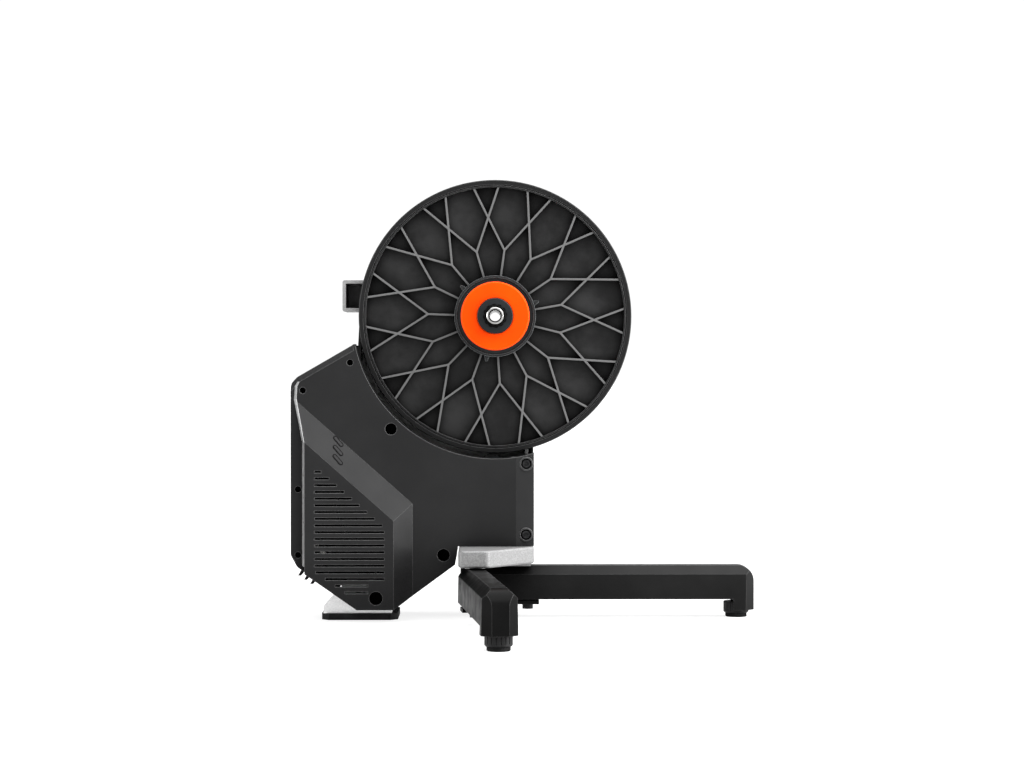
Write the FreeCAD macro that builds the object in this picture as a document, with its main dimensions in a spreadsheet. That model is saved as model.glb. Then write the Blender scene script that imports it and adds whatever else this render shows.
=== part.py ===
import FreeCAD, Part
import Sketcher
import math
import os
import re

# Wheel-off indoor bicycle trainer, seen in use from its drive side.
# Origin: middle of the rear hub axle. +X is the bicycle's forward direction,
# +Y points to the non-drive side and +Z up. Millimetres throughout.

os.makedirs("parts", exist_ok=True)
doc = FreeCAD.newDocument("Trainer")

SIZES = {
    # Hub axle and running fits
    "axle_height": 343,
    "hub_width": 142,
    "bore_radius": 6.05,
    "axle_radius": 8.5,
    "axle_collar_radius": 12,
    "axle_reach": 63,
    "running_gap": 0.05,
    "fit_gap": 0.3,
    "cap_radius": 9.5,
    "cap_sleeve": 5,
    # Large belt pulley
    "pulley_radius": 154.5,
    "belt_land_radius": 149.5,
    "rim_inner_radius": 146.3,
    "pulley_front": 29,
    "pulley_back": 5,
    "flange_width": 2.6,
    "back_flange_radius": 152,
    "rim_groove_depth": 1.4,
    "hub_ring_radius": 44,
    "hub_front": 31.5,
    "web_front": 18.5,
    "web_thickness": 3.5,
    "web_dish": 2.5,
    "rib_width": 2.2,
    "rib_top": 28.2,
    "rib_count": 15,
    "rib_lead": 10,
    "fork_radius": 75.9,
    "fork_angle": 17.5,
    "back_rib_width": 2.6,
    "pulley_bearing_radius": 15,
    "pulley_bearing_width": 7,
    # Freehub and single sprocket
    "freehub_front": 59,
    "freehub_back": 33,
    "freehub_radius": 16.2,
    "freehub_flange_radius": 19,
    "freehub_bore": 11,
    "spline_height": 1,
    "spline_width": 3.4,
    "spline_count": 9,
    "freehub_bearing_radius": 13,
    "freehub_bearing_width": 5,
    "carrier_radius": 19.95,
    "carrier_front": 62,
    "carrier_back": 36.2,
    "carrier_lip": 23,
    "sprocket_teeth": 14,
    "chain_pitch": 12.7,
    "roller_radius": 4,
    "sprocket_thickness": 2.3,
    "sprocket_front": 49.6,
    "guard_radius": 45.75,
    "guard_front": 46,
    "guard_back": 41,
    "guard_web": 2.5,
    "guard_rim": 2.6,
    "tab_tip_radius": 52,
    "tab_width": 6.5,
    "tab_angle": 18.5,
    "disc_radius": 38.55,
    "disc_front": 56,
    "disc_thickness": 3,
    "lockring_radius": 12,
    "lockring_front": 64.5,
    "lockring_bore": 9.9,
    "notch_count": 12,
    "notch_width": 1.9,
    "notch_depth": 1,
    # Belt drive and flywheel
    "flywheel_back": 138,
    "flywheel_drop": 216,
    "small_land_radius": 23,
    "belt_thickness": 3.5,
    "belt_gap": 0.3,
    "belt_edge_gap": 0.35,
    "small_flange": 4.6,
    "idler_drop": 172,
    "idler_radius": 13.7,
    "idler_pin_radius": 4,
    "shaft_radius": 7.5,
    "shaft_bearing_radius": 17.5,
    "shaft_bearing_width": 11,
    "shaft_boss_radius": 24,
    "flywheel_radius": 67,
    "flywheel_front": 52,
    "flywheel_inner": 29.5,
    "flywheel_rim": 28,
    "flywheel_web": 12,
    "flywheel_recess": 7,
    "shaft_nut": 22,
    # Resistance unit
    "shoe_inner_radius": 73,
    "magnet_depth": 4,
    "magnet_width": 12,
    "shoe_depth": 7,
    "shoe_front": 50,
    "shoe_back": 33,
    "shoe_pivot_back": 62,
    "shoe_pivot_low": 62,
    "shoe_pin_radius": 4,
    "shoe_lug": 2.2,
    "shoe_lug_gap": 1,
    "motor_size": 26,
    "motor_length": 20,
    "motor_front": 48,
    "motor_rise": 43,
    "motor_screw": 2.5,
    "motor_reach": 19.5,
    "motor_plate": 3,
    # Main frame casting
    "frame_near": 2,
    "frame_far": 46,
    "frame_wall": 4,
    "handle_back": 174.5,
    "handle_top": 42,
    "handle_bottom": 6,
    "handle_round": 2.8,
    "arm_back": 146,
    "arm_front": 38,
    "hub_boss_radius": 44,
    "axle_boss_radius": 19,
    "axle_boss_far": 57,
    "yoke_top": 258.5,
    "foot_top": 300,
    "case_clearance": 4.5,
    # Plastic covers
    "case_wall": 3,
    "case_near": 58,
    "case_far": 62,
    "case_split": 0.2,
    "case_peak_x": 158,
    "case_peak_drop": 31.4,
    "case_shoulder_x": 222,
    "case_shoulder_drop": 68.4,
    "case_rear": 229,
    "case_rear_top": 76,
    "case_heel_drop": 267.7,
    "case_heel_x": 221.8,
    "case_heel_low": 281.2,
    "case_base_rear": 154.1,
    "case_base_front": 112.1,
    "case_base_drop": 328,
    "case_notch_x": 44.9,
    "case_notch_low": 278.9,
    "case_front": 43.7,
    "case_arc_radius": 160,
    "case_arc_depth": 30,
    "case_bevel": 6,
    "case_round": 9,
    "case_strip": 20,
    "case_strip_slope": 6.5,
    "left_top_drop": 82,
    # Vent bump on the drive-side cover
    "bump_front": 75,
    "bump_apex_x": 223,
    "bump_apex_drop": 95,
    "bump_left": 212.3,
    "bump_left_drop": 141,
    "bump_foot_x": 92.5,
    "bump_foot_drop": 210.5,
    "bump_top_x": 113,
    "bump_top_drop": 228.5,
    "slot_count": 19,
    "slot_pitch": 7.47,
    "slot_height": 2.4,
    "slot_first": 172.6,
    "slot_left": 201,
    "slot_right": 123.5,
    "slot_margin": 9,
    # Fasteners of the covers
    "screw_boss": 4,
    "tower_radius": 5.5,
    "screw_hole": 3.5,
    "screw_head": 3.1,
    "screw_shank": 1.5,
    "screw_depth": 14,
    "edge_tower": 7.5,
    "edge_hole": 6,
    "edge_head": 4.6,
    "edge_depth": 5,
    "upper_hole_x": 116.6,
    "upper_hole_drop": 126.6,
    "upper_hole": 6.5,
    "lower_hole": 7,
    "foot_hole": 7.5,
    "well_depth": 20,
    "well_wall": 1.5,
    "screw_bite": 10,
    # Leg bracket, legs and feet
    "yoke_thickness": 19,
    "yoke_ear_back": 40.6,
    "yoke_ear_front": 7.8,
    "yoke_ear_reach": 118,
    "yoke_side_reach": 58,
    "yoke_round": 8,
    "yoke_edge": 2.5,
    "plinth_reach": 40,
    "plinth_front": 26,
    "plinth_height": 8,
    "yoke_bolt_x": 18,
    "yoke_bolt_y": 29,
    "yoke_bolt_radius": 4,
    "yoke_bolt_head": 6.5,
    "yoke_bolt_bite": 14,
    "pivot_back": 22,
    "pivot_side": 90,
    "pivot_bolt_radius": 5,
    "pivot_washer": 1.7,
    "washer_radius": 14,
    "leg_half_width": 19,
    "leg_shoulder": 18.2,
    "leg_crown": 8.5,
    "leg_bevel": 9.5,
    "leg_wall": 3.5,
    "leg_lean": 6.5,
    "side_leg_beam": 25,
    "side_leg_skirt": 16,
    "side_leg_length": 245,
    "leg_root": 19,
    "root_block": 22,
    "tip_block": 38,
    "skirt_length": 24,
    "leg_rib": 3,
    "knob_clearance": 1.5,
    "foot_from_tip": 19.5,
    "front_pad": 6.3,
    "front_leg_beam": 21.2,
    "front_leg_skirt": 8.5,
    "front_leg_tip": 295.7,
    "front_ceiling": 6,
    "bolt_ceiling": 4,
    "front_leg_root": 20,
    "front_bolt_x": 37.3,
    "leg_tip_round": 18,
    "tip_chamfer": 10,
    "plate_length": 25.6,
    "plate_thickness": 4.2,
    "plate_drop": 19.4,
    "bolt_head_radius": 6.15,
    "bolt_head": 6.2,
    "knob_radius": 14.5,
    "knob_height": 13,
    "knob_flutes": 18,
    "flute_depth": 0.8,
    "flute_width": 2.6,
    "pad_radius": 12.25,
    "pad_height": 4.5,
    "stud_radius": 4,
    "stud_length": 26,
    "foot_travel": 5,
    # Rear foot
    "rear_foot_back": 194,
    "rear_foot_front": 117,
    "rear_foot_reach": 35,
    "rear_foot_toe": 8,
    "rear_foot_bend": 14,
    "rear_foot_rise": 26,
    "foot_clearance": 1.2,
    "rear_pad_back": 196,
    "rear_pad_front": 110,
    "rear_pad_reach": 38,
    "rear_pad_height": 7.4,
    "rear_pad_chamfer": 8,
    # Small electrical parts
    "board_thickness": 1.6,
    "board_front": 50,
    "board_back": 208,
    "board_right": 156,
    "board_top": 76,
    "board_low": 128,
    "standoff": 3,
    "light_length": 12,
    "light_width": 5.4,
    "light_pitch": 10,
    "light_height": 0.9,
    "light_x": 175.5,
    "light_drop": 140.5,
    "socket_drop": 240,
    "socket_depth": 22,
    "socket_radius": 6.5,
    "fin_first": 5,
    "fin_thickness": 3.6,
    "fin_pitch": 6.8,
    "fin_lean": 4.4,
    "fin_drop": 6.5,
}

sheet = doc.addObject("Spreadsheet::Sheet", "Sizes")
for row, (size_name, size_value) in enumerate(SIZES.items(), 1):
    sheet.set(f"A{row}", size_name)
    sheet.set(f"B{row}", str(size_value))
    sheet.setAlias(f"B{row}", size_name)
doc.recompute()

# Places and measures that follow from the sizes
FLOOR = "-axle_height"
FLYWHEEL_X = "-flywheel_back"
FLYWHEEL_Z = "-flywheel_drop"
YOKE_LOW = "(-yoke_top-yoke_thickness)"
SIDE_LEG_TOP = "(-yoke_top-yoke_thickness-pivot_washer-fit_gap)"
FRONT_LEG_TOP = "(-yoke_top-yoke_thickness-front_pad)"
PLATE_TOP = "(plate_drop-axle_height)"
BELT_NEAR = "(-pulley_front+flange_width+belt_edge_gap)"
BELT_FAR = "(-pulley_back-flange_width-belt_edge_gap)"
BELT_OUTER = "(belt_gap+belt_thickness)"
SHOE_PIVOT_X = "(-flywheel_back-shoe_pivot_back)"
SHOE_PIVOT_Z = "(-flywheel_drop-shoe_pivot_low)"

# Screws of the drive-side cover: places seen on its face
SMALL_SCREWS = [
    ("-case_peak_x-4.5", "-case_peak_drop-20.8"),
    ("-case_shoulder_x+6.7", "-case_shoulder_drop-15"),
    ("-case_rear+8.3", "-case_heel_drop+73.5"),
    ("-case_rear+8.3", "-case_heel_drop"),
]
EDGE_SCREWS = [
    ("case_front-8.7", "-yoke_top+92.7"),
    ("case_front-9.1", "-yoke_top+13.2"),
]
ACCESS_HOLES = [
    ("-upper_hole_x", "-upper_hole_drop", "upper_hole", "-case_near"),
    ("-case_notch_x-12.9", "-case_notch_low+10.8", "lower_hole", "-case_near"),
    ("-case_base_front-20.7", "-case_base_drop+13.2", "foot_hole", "-bump_front"),
]
STANDOFFS = [
    ("-board_right-5", "-board_low+5"), ("-board_right-5", "-board_top-5"),
    ("-board_back+8", "-board_top-19"),
]

# Upright bolts, as places in plan
YOKE_BOLTS = [
    ("-yoke_bolt_x", "-yoke_bolt_y"), ("yoke_bolt_x", "-yoke_bolt_y"),
    ("-yoke_bolt_x", "yoke_bolt_y"), ("yoke_bolt_x", "yoke_bolt_y"),
]
PIVOTS = [("-pivot_back", "-pivot_side"), ("-pivot_back", "pivot_side")]
REAR_FOOT_SCREWS = [("-rear_foot_back+42", "frame_far/2"), ("-rear_foot_front-12", "frame_far/2")]


def value(formula):
    """The number that a formula in the sheet's names stands for."""
    return float(sheet.evalExpression(str(formula)))


def linked(formula):
    """The formula with each name pointed at its cell of the sheet."""
    return re.sub(r"\b([a-z][a-z_]*)\b(?!\()", r"Sizes.\1", str(formula))


def link(item, setting, formula):
    item.setExpression(setting, linked(formula))


def start(label, x="0", y="0", z="0"):
    """A new sub-part whose own origin lies at x, y, z."""
    piece = doc.addObject("PartDesign::Body", label)
    piece.Label = label
    for letter, place in zip("xyz", (x, y, z)):
        link(piece, f".Placement.Base.{letter}", place)
    return piece


def origin_part(piece, role):
    return next(part for part in piece.Origin.OriginFeatures if part.Role == role)


PLANES = {"front": "XZ_Plane", "top": "XY_Plane", "side": "YZ_Plane"}


def sketch_on(piece, plane, lift):
    sketch = piece.newObject("Sketcher::SketchObject", f"{piece.Label}_sketch")
    sketch.AttachmentSupport = [(origin_part(piece, PLANES[plane]), "")]
    sketch.MapMode = "FlatFace"
    link(sketch, ".AttachmentOffset.Base.z", lift)
    return sketch


def add_polygon(sketch, points):
    """A closed outline; each corner is held by its two distances from the origin."""
    first = sketch.GeometryCount
    corners = [FreeCAD.Vector(value(x), value(y), 0) for x, y in points]
    count = len(corners)
    lines = [Part.LineSegment(corners[i], corners[(i + 1) % count]) for i in range(count)]
    sketch.addGeometry(lines, False)
    rules = []
    for i in range(count):
        rules.append(Sketcher.Constraint("Coincident", first + i, 2, first + (i + 1) % count, 1))
    for i, corner in enumerate(corners):
        rules.append(Sketcher.Constraint("DistanceX", -1, 1, first + i, 1, corner.x))
        rules.append(Sketcher.Constraint("DistanceY", -1, 1, first + i, 1, corner.y))
    held = sketch.ConstraintCount + count
    sketch.addConstraint(rules)
    for i, (x, y) in enumerate(points):
        sketch.setExpression(f"Constraints[{held + 2 * i}]", linked(x))
        sketch.setExpression(f"Constraints[{held + 2 * i + 1}]", linked(y))


def add_circle(sketch, x, y, radius):
    centre = FreeCAD.Vector(value(x), value(y), 0)
    circle = sketch.addGeometry(Part.Circle(centre, FreeCAD.Vector(0, 0, 1), value(radius)), False)
    held = sketch.ConstraintCount
    sketch.addConstraint([
        Sketcher.Constraint("DistanceX", -1, 1, circle, 3, centre.x),
        Sketcher.Constraint("DistanceY", -1, 1, circle, 3, centre.y),
        Sketcher.Constraint("Radius", circle, value(radius)),
    ])
    sketch.setExpression(f"Constraints[{held}]", linked(x))
    sketch.setExpression(f"Constraints[{held + 1}]", linked(y))
    sketch.setExpression(f"Constraints[{held + 2}]", linked(radius))


def add_loops(sketch, loops):
    for loop in loops:
        if isinstance(loop, tuple):
            add_circle(sketch, *loop)
        else:
            add_polygon(sketch, loop)


def block(piece, plane, low, high, loops, cut=False):
    """Loops pushed out, or cut, from low to high along Y, Z or X of the piece."""
    toward_viewer = plane == "front"
    near, far = (f"-({low})", f"-({high})") if toward_viewer else (high, low)
    sketch = sketch_on(piece, plane, near if cut else far)
    add_loops(sketch, loops)
    kind = "PartDesign::Pocket" if cut else "PartDesign::Pad"
    feature = piece.newObject(kind, f"{piece.Label}_block")
    feature.Profile = sketch
    link(feature, "Length", f"({high})-({low})")
    return feature


def turn(piece, points, along="Y", cut=False):
    """A profile of radius and height turned about the piece's Y or Z axis."""
    sketch = sketch_on(piece, "top" if along == "Y" else "front", "0")
    add_polygon(sketch, points)
    kind = "PartDesign::Groove" if cut else "PartDesign::Revolution"
    feature = piece.newObject(kind, f"{piece.Label}_turn")
    feature.Profile = sketch
    feature.ReferenceAxis = (sketch, ["V_Axis"])
    feature.Angle = 360
    return feature


def tube(piece, inner, outer, low, high, along="Y"):
    return turn(piece, [(inner, low), (outer, low), (outer, high), (inner, high)], along)


def repeat(piece, features, count, axis="Y_Axis"):
    """Copies of the features spaced evenly round an axis of the piece."""
    pattern = piece.newObject("PartDesign::PolarPattern", f"{piece.Label}_copies")
    pattern.Originals = features
    pattern.Axis = (origin_part(piece, axis), [""])
    pattern.Angle = 360
    link(pattern, "Occurrences", count)
    piece.Tip = pattern
    return pattern


def row_of(piece, features, count, spacing, axis):
    """Copies of the features in a line, each one spacing further on."""
    pattern = piece.newObject("PartDesign::LinearPattern", f"{piece.Label}_row")
    pattern.Originals = features
    pattern.Direction = (origin_part(piece, axis), [""])
    link(pattern, "Length", f"({spacing})*({count}-1)")
    link(pattern, "Occurrences", count)
    piece.Tip = pattern
    return pattern


def dress(piece, kind, setting, size, wanted):
    """A fillet or chamfer on the edges for which wanted(edge middle, direction) is true."""
    base = piece.Tip
    doc.recompute()
    names = []
    for number, edge in enumerate(base.Shape.Edges, 1):
        middle = edge.valueAt((edge.FirstParameter + edge.LastParameter) / 2)
        run = edge.Vertexes[-1].Point - edge.Vertexes[0].Point
        if run.Length > 0.5 and wanted(middle, run.normalize()):
            names.append(f"Edge{number}")
    feature = piece.newObject(kind, f"{piece.Label}_dress")
    feature.Base = (base, names)
    link(feature, setting, size)
    return feature


def fillet(piece, radius, wanted):
    return dress(piece, "PartDesign::Fillet", "Radius", radius, wanted)


def chamfer(piece, size, wanted):
    return dress(piece, "PartDesign::Chamfer", "Size", size, wanted)


def hollow(piece, wall, open_face):
    """Shell the piece inwards, open at the face whose centre and normal are wanted."""
    base = piece.Tip
    doc.recompute()
    names = []
    for number, face in enumerate(base.Shape.Faces, 1):
        if open_face(face.CenterOfMass, face.normalAt(0, 0)):
            names.append(f"Face{number}")
    shell = piece.newObject("PartDesign::Thickness", f"{piece.Label}_shell")
    shell.Base = (base, names)
    link(shell, "Value", wall)
    shell.Reversed = True
    return shell


def polar(radius, angle, x="0", z="0"):
    """A point at a radius and angle in degrees from x, z."""
    return (f"{x}+({radius})*cos({angle})", f"{z}+({radius})*sin({angle})")


def bar(start_point, end_point, width, lead):
    """A straight rib between two polar points, as a four-cornered outline."""
    (ra, aa), (rb, ab) = start_point, end_point
    ax, az = value(f"({ra})*cos({aa})"), value(f"({ra})*sin({aa})")
    bx, bz = value(f"({rb})*cos({ab})"), value(f"({rb})*sin({ab})")
    tilt = math.degrees(math.atan2(bz - az, bx - ax))
    side = f"({width})/2"
    corners = []
    for (radius, angle), sign in (((ra, aa), 1), ((rb, ab), 1), ((rb, ab), -1), ((ra, aa), -1)):
        x, z = polar(radius, f"{angle}+{lead}")
        shift_x, shift_z = polar(f"{sign}*{side}", f"{tilt + 90}+{lead}")
        corners.append((f"{x}+{shift_x}", f"{z}+{shift_z}"))
    return corners


# Hub axle

def make_axle_tube():
    piece = start("axle_tube")
    tube(piece, "bore_radius", "axle_radius", "-axle_reach", "axle_reach")
    tube(piece, "axle_radius-1", "axle_collar_radius", "-pulley_back-0.9", "-frame_near")


def make_end_cap(label, side):
    piece = start(label)
    face = f"{side}*hub_width/2"
    inner = f"{side}*axle_reach"
    end = f"{side}*(axle_reach-cap_sleeve)"
    bore = "(axle_radius+running_gap)"
    turn(piece, [
        ("bore_radius", face), ("cap_radius-0.6", face), ("cap_radius", f"{face}-{side}*0.6"),
        ("cap_radius", end), (bore, end), (bore, inner), ("bore_radius", inner),
    ])


def make_bearings(label, inner, outer, width, places, x="0", z="0"):
    """Ball bearings, each as one ring, on an axis along Y."""
    piece = start(label, x, "0", z)
    for place in places:
        tube(piece, inner, outer, place, f"{place}+{width}")


# Large pulley with its lattice of ribs

def make_drive_pulley():
    piece = start("drive_pulley")
    back_web = "-web_front+web_thickness"
    turn(piece, [
        ("pulley_bearing_radius", "-hub_front"), ("hub_ring_radius", "-hub_front"),
        ("hub_ring_radius", "-web_front-web_dish"), ("rim_inner_radius", "-web_front"),
        ("rim_inner_radius", "-pulley_front"), ("rim_inner_radius+1.8", "-pulley_front"),
        ("rim_inner_radius+1.8", "-pulley_front+rim_groove_depth"),
        ("rim_inner_radius+3", "-pulley_front+rim_groove_depth"),
        ("rim_inner_radius+3", "-pulley_front"), ("pulley_radius-0.8", "-pulley_front"),
        ("pulley_radius", "-pulley_front+0.8"), ("pulley_radius", "-pulley_front+flange_width"),
        ("belt_land_radius", "-pulley_front+flange_width"),
        ("belt_land_radius", "-pulley_back-flange_width"),
        ("back_flange_radius", "-pulley_back-flange_width"),
        ("back_flange_radius", "-pulley_back"), ("rim_inner_radius", "-pulley_back"),
        ("rim_inner_radius", back_web), ("hub_ring_radius", f"{back_web}-web_dish"),
        ("hub_ring_radius", "-pulley_back-1"), ("pulley_bearing_radius", "-pulley_back-1"),
    ])
    spoke = [
        ("hub_ring_radius-1", "0"), ("fork_radius", "0"), ("rim_inner_radius+0.5", "fork_angle"),
    ]
    ribs = []
    for first, second in ((0, 1), (1, 2)):
        outline = bar(spoke[first], spoke[second], "rib_width", "rib_lead")
        ribs.append(block(piece, "front", "-rib_top", "-web_front+1", [outline]))
    mirrored = ("rim_inner_radius+0.5", "-fork_angle")
    outline = bar(spoke[1], mirrored, "rib_width", "rib_lead")
    ribs.append(block(piece, "front", "-rib_top", "-web_front+1", [outline]))
    repeat(piece, ribs, "rib_count")
    back_rib = bar(("hub_ring_radius-1", "0"), ("rim_inner_radius+0.5", "0"), "back_rib_width", "rib_lead")
    behind = block(piece, "front", f"{back_web}-1-web_dish", "-pulley_back-2", [back_rib])
    repeat(piece, [behind], "rib_count")


# Freehub, single sprocket and its guards

def make_freehub_body():
    piece = start("freehub_body")
    near = "-freehub_front"
    seat_near = "-freehub_front+4"
    seat_far = f"{seat_near}+freehub_bearing_width"
    back_seat = "-freehub_back-1-freehub_bearing_width"
    turn(piece, [
        ("freehub_bore", near), ("freehub_radius", near), ("freehub_radius", "-freehub_back-3"),
        ("freehub_flange_radius", "-freehub_back-3"), ("freehub_flange_radius", "-freehub_back"),
        ("freehub_bearing_radius", "-freehub_back"), ("freehub_bearing_radius", back_seat),
        ("freehub_bore", back_seat), ("freehub_bore", seat_far),
        ("freehub_bearing_radius", seat_far), ("freehub_bearing_radius", seat_near),
        ("freehub_bore", seat_near),
    ])
    ridge = [
        ("freehub_radius-1", "-spline_width/2"), ("freehub_radius+spline_height", "-spline_width/2"),
        ("freehub_radius+spline_height", "spline_width/2"), ("freehub_radius-1", "spline_width/2"),
    ]
    spline = block(piece, "front", near, "-freehub_back-2", [ridge])
    repeat(piece, [spline], "spline_count")


def make_cog_carrier():
    piece = start("cog_carrier")
    bore = "freehub_radius+spline_height+0.1"
    turn(piece, [
        ("freehub_bore", "-carrier_front"), ("carrier_radius-0.8", "-carrier_front"),
        ("carrier_radius", "-carrier_front+0.8"), ("carrier_radius", "-guard_back"),
        ("carrier_lip", "-guard_back"), ("carrier_lip", "-carrier_back"),
        (bore, "-carrier_back"), (bore, "-freehub_front"), ("freehub_bore", "-freehub_front"),
    ])


def make_sprocket():
    piece = start("sprocket")
    pitch_radius = "chain_pitch/2/sin(180/sprocket_teeth)"
    tip = f"{pitch_radius}+roller_radius*0.6"
    back = "-sprocket_front+sprocket_thickness"
    turn(piece, [
        ("carrier_radius", "-sprocket_front"), (f"{tip}-1.5", "-sprocket_front"),
        (tip, "-sprocket_front+0.6"), (tip, f"{back}-0.6"), (f"{tip}-1.5", back),
        ("carrier_radius", back),
    ])
    seat_x, seat_z = polar(pitch_radius, "90")
    gap = block(piece, "front", "-sprocket_front-1", f"{back}+1",
                [(seat_x, seat_z, "roller_radius")], cut=True)
    repeat(piece, [gap], "sprocket_teeth")


def make_inner_guard():
    piece = start("inner_guard")
    sprocket_back = "-sprocket_front+sprocket_thickness"
    web = "-guard_back-guard_web"
    turn(piece, [
        ("carrier_radius", sprocket_back), ("carrier_radius+5", sprocket_back),
        ("carrier_radius+5", web), ("guard_radius-guard_rim", web),
        ("guard_radius-guard_rim", "-guard_front"), ("guard_radius", "-guard_front"),
        ("guard_radius", "-guard_back"), ("carrier_radius", "-guard_back"),
    ])
    half = "tab_width/2"
    tab = [
        ("guard_radius-1", f"-{half}"), ("tab_tip_radius", f"-{half}*0.2"),
        ("tab_tip_radius-0.6", f"{half}*0.4"), ("guard_radius-1", half),
    ]
    turned = []
    for x, z in tab:
        turned.append((f"({x})*cos(tab_angle)-({z})*sin(tab_angle)",
                       f"({x})*sin(tab_angle)+({z})*cos(tab_angle)"))
    hook = block(piece, "front", "-guard_back-guard_web", "-guard_back", [turned])
    repeat(piece, [hook], "3")


def make_outer_guard():
    piece = start("outer_guard")
    back = "-disc_front+disc_thickness"
    turn(piece, [
        ("carrier_radius", "-disc_front+0.6"), ("carrier_radius+1.2", "-disc_front"),
        ("disc_radius-1.2", "-disc_front"), ("disc_radius", "-disc_front+1.2"),
        ("disc_radius", back), ("carrier_radius+7", back),
        ("carrier_radius+7", "-sprocket_front"), ("carrier_radius", "-sprocket_front"),
    ])


def make_lockring():
    piece = start("lockring")
    thread = "freehub_bore-0.1"
    turn(piece, [
        ("lockring_bore", "-lockring_front"), ("lockring_radius-0.6", "-lockring_front"),
        ("lockring_radius", "-lockring_front+0.6"), ("lockring_radius", "-carrier_front"),
        (thread, "-carrier_front"), (thread, "-freehub_front+3"), ("lockring_bore", "-freehub_front+3"),
    ])
    notch = [
        ("lockring_bore-1", "-notch_width/2"), ("lockring_bore+notch_depth", "-notch_width/2"),
        ("lockring_bore+notch_depth", "notch_width/2"), ("lockring_bore-1", "notch_width/2"),
    ]
    groove = block(piece, "front", "-lockring_front-1", "-carrier_front+1", [notch], cut=True)
    repeat(piece, [groove], "notch_count")


# Main frame casting with its carry handle

def frame_outline():
    edge = "case_clearance"
    return [
        ("-handle_back", "handle_bottom"), ("-handle_back", "handle_top"), ("0", "handle_top"),
        ("arm_front", "hub_boss_radius*0.3"), ("arm_front", "-yoke_top"), ("-arm_front", "-yoke_top"),
        ("-arm_front", "-yoke_top+plinth_height"), (f"-case_notch_x-2*{edge}", "-yoke_top+plinth_height"),
        (f"-case_notch_x-2*{edge}", f"-case_notch_low+2*{edge}"),
        ("-case_base_front+12", "-foot_top"), ("-case_base_rear-32", "-foot_top"),
        (f"-case_heel_x+0.6*{edge}", f"-case_heel_low+0.8*{edge}"),
        (f"-case_rear+{edge}", f"-case_heel_drop+0.5*{edge}"),
        (f"-case_rear+{edge}", f"-case_rear_top-2*{edge}"),
        ("-case_shoulder_x+4", f"-case_shoulder_drop-1.2*{edge}"),
        (f"-case_peak_x+{edge}", f"-case_peak_drop-1.2*{edge}"),
        ("-arm_back", f"-case_peak_drop-1.2*{edge}"), ("-arm_back", "handle_bottom"),
    ]


def make_main_frame():
    piece = start("main_frame")
    near, far = "-frame_near", "frame_far"
    block(piece, "front", near, far, [frame_outline()])
    block(piece, "front", near, far, [("0", "0", "hub_boss_radius")])
    hollow(piece, "frame_wall", lambda centre, normal: abs(centre.y - value(near)) < 0.01
           and abs(normal.y) > 0.99)
    floor = f"{far}-1"
    turn(piece, [
        ("axle_radius", near), ("axle_boss_radius", near), ("axle_boss_radius+4", far),
        ("axle_boss_radius-3", "axle_boss_far"), ("axle_radius", "axle_boss_far"),
    ])
    block(piece, "front", near, floor, [(FLYWHEEL_X, FLYWHEEL_Z, "shaft_boss_radius")])
    bosses = [(x, z, "screw_boss") for x, z in SMALL_SCREWS + EDGE_SCREWS]
    for boss in bosses:
        block(piece, "front", near, floor, [boss])
    block(piece, "front", near, floor, [(SHOE_PIVOT_X, SHOE_PIVOT_Z, "shoe_pin_radius+4")])
    block(piece, "front", near, floor, [("0", "-idler_drop", "idler_pin_radius+5")])
    for x_low, x_high, z_low, z_high in (
            ("-axle_boss_radius-90", "-axle_boss_radius+1", "-frame_wall/2", "frame_wall/2"),
            ("-arm_front+6", "arm_front-1", "-yoke_top+46", "-yoke_top+49"),
            ("-case_rear+case_clearance+1", "-flywheel_back-20", "-flywheel_drop-1.5", "-flywheel_drop+1.5"),
            ("-flywheel_back+20", "-idler_pin_radius", "-flywheel_drop-1.5", "-flywheel_drop+1.5"),
            ("-flywheel_back-1.5", "-flywheel_back+1.5", "-foot_top+3", "-flywheel_drop-20")):
        rib = [(x_low, z_low), (x_high, z_low), (x_high, z_high), (x_low, z_high)]
        block(piece, "front", f"{near}+14", floor, [rib])
    plinth = [
        ("-arm_front", "-plinth_reach"), ("plinth_front", "-plinth_reach"), ("plinth_front", near),
        ("arm_front", near), ("arm_front", floor), ("-arm_front", floor),
    ]
    block(piece, "top", "-yoke_top", "-yoke_top+plinth_height", [plinth])
    bolts = [(x, y, "yoke_bolt_radius") for x, y in YOKE_BOLTS]
    block(piece, "top", "-yoke_top-1", "-yoke_top+plinth_height+1", bolts, cut=True)
    bolts = [(x, y, "yoke_bolt_radius") for x, y in REAR_FOOT_SCREWS]
    block(piece, "top", "-foot_top-1", "-foot_top+frame_wall+1", bolts, cut=True)
    inlet = [("socket_depth", "-socket_drop", "socket_radius+1")]
    block(piece, "side", "-case_rear", "-case_rear+case_clearance+frame_wall+1", inlet, cut=True)
    bore = [("0", "0", "axle_radius")]
    block(piece, "front", f"{near}-1", "axle_boss_far+1", bore, cut=True)
    shaft = (FLYWHEEL_X, FLYWHEEL_Z)
    block(piece, "front", near, f"{near}+shaft_bearing_width+1",
          [(*shaft, "shaft_bearing_radius")], cut=True)
    block(piece, "front", f"{far}-shaft_bearing_width-5", f"{far}+1",
          [(*shaft, "shaft_bearing_radius")], cut=True)
    block(piece, "front", near, far, [(*shaft, "shaft_bearing_radius-3")], cut=True)
    pins = [(SHOE_PIVOT_X, SHOE_PIVOT_Z, "shoe_pin_radius"), ("0", "-idler_drop", "idler_pin_radius")]
    block(piece, "front", near, f"{near}+screw_bite", pins, cut=True)
    holes = [(x, z, "screw_shank+0.1") for x, z in SMALL_SCREWS + EDGE_SCREWS]
    block(piece, "front", near, f"{near}+screw_bite+1", holes, cut=True)
    block(piece, "front", f"{far}-screw_bite-1", f"{far}+1", holes, cut=True)
    fillet(piece, "handle_round", lambda middle, run: abs(run.y) > 0.99
           and abs(middle.x + value("handle_back")) < 0.01)


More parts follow.
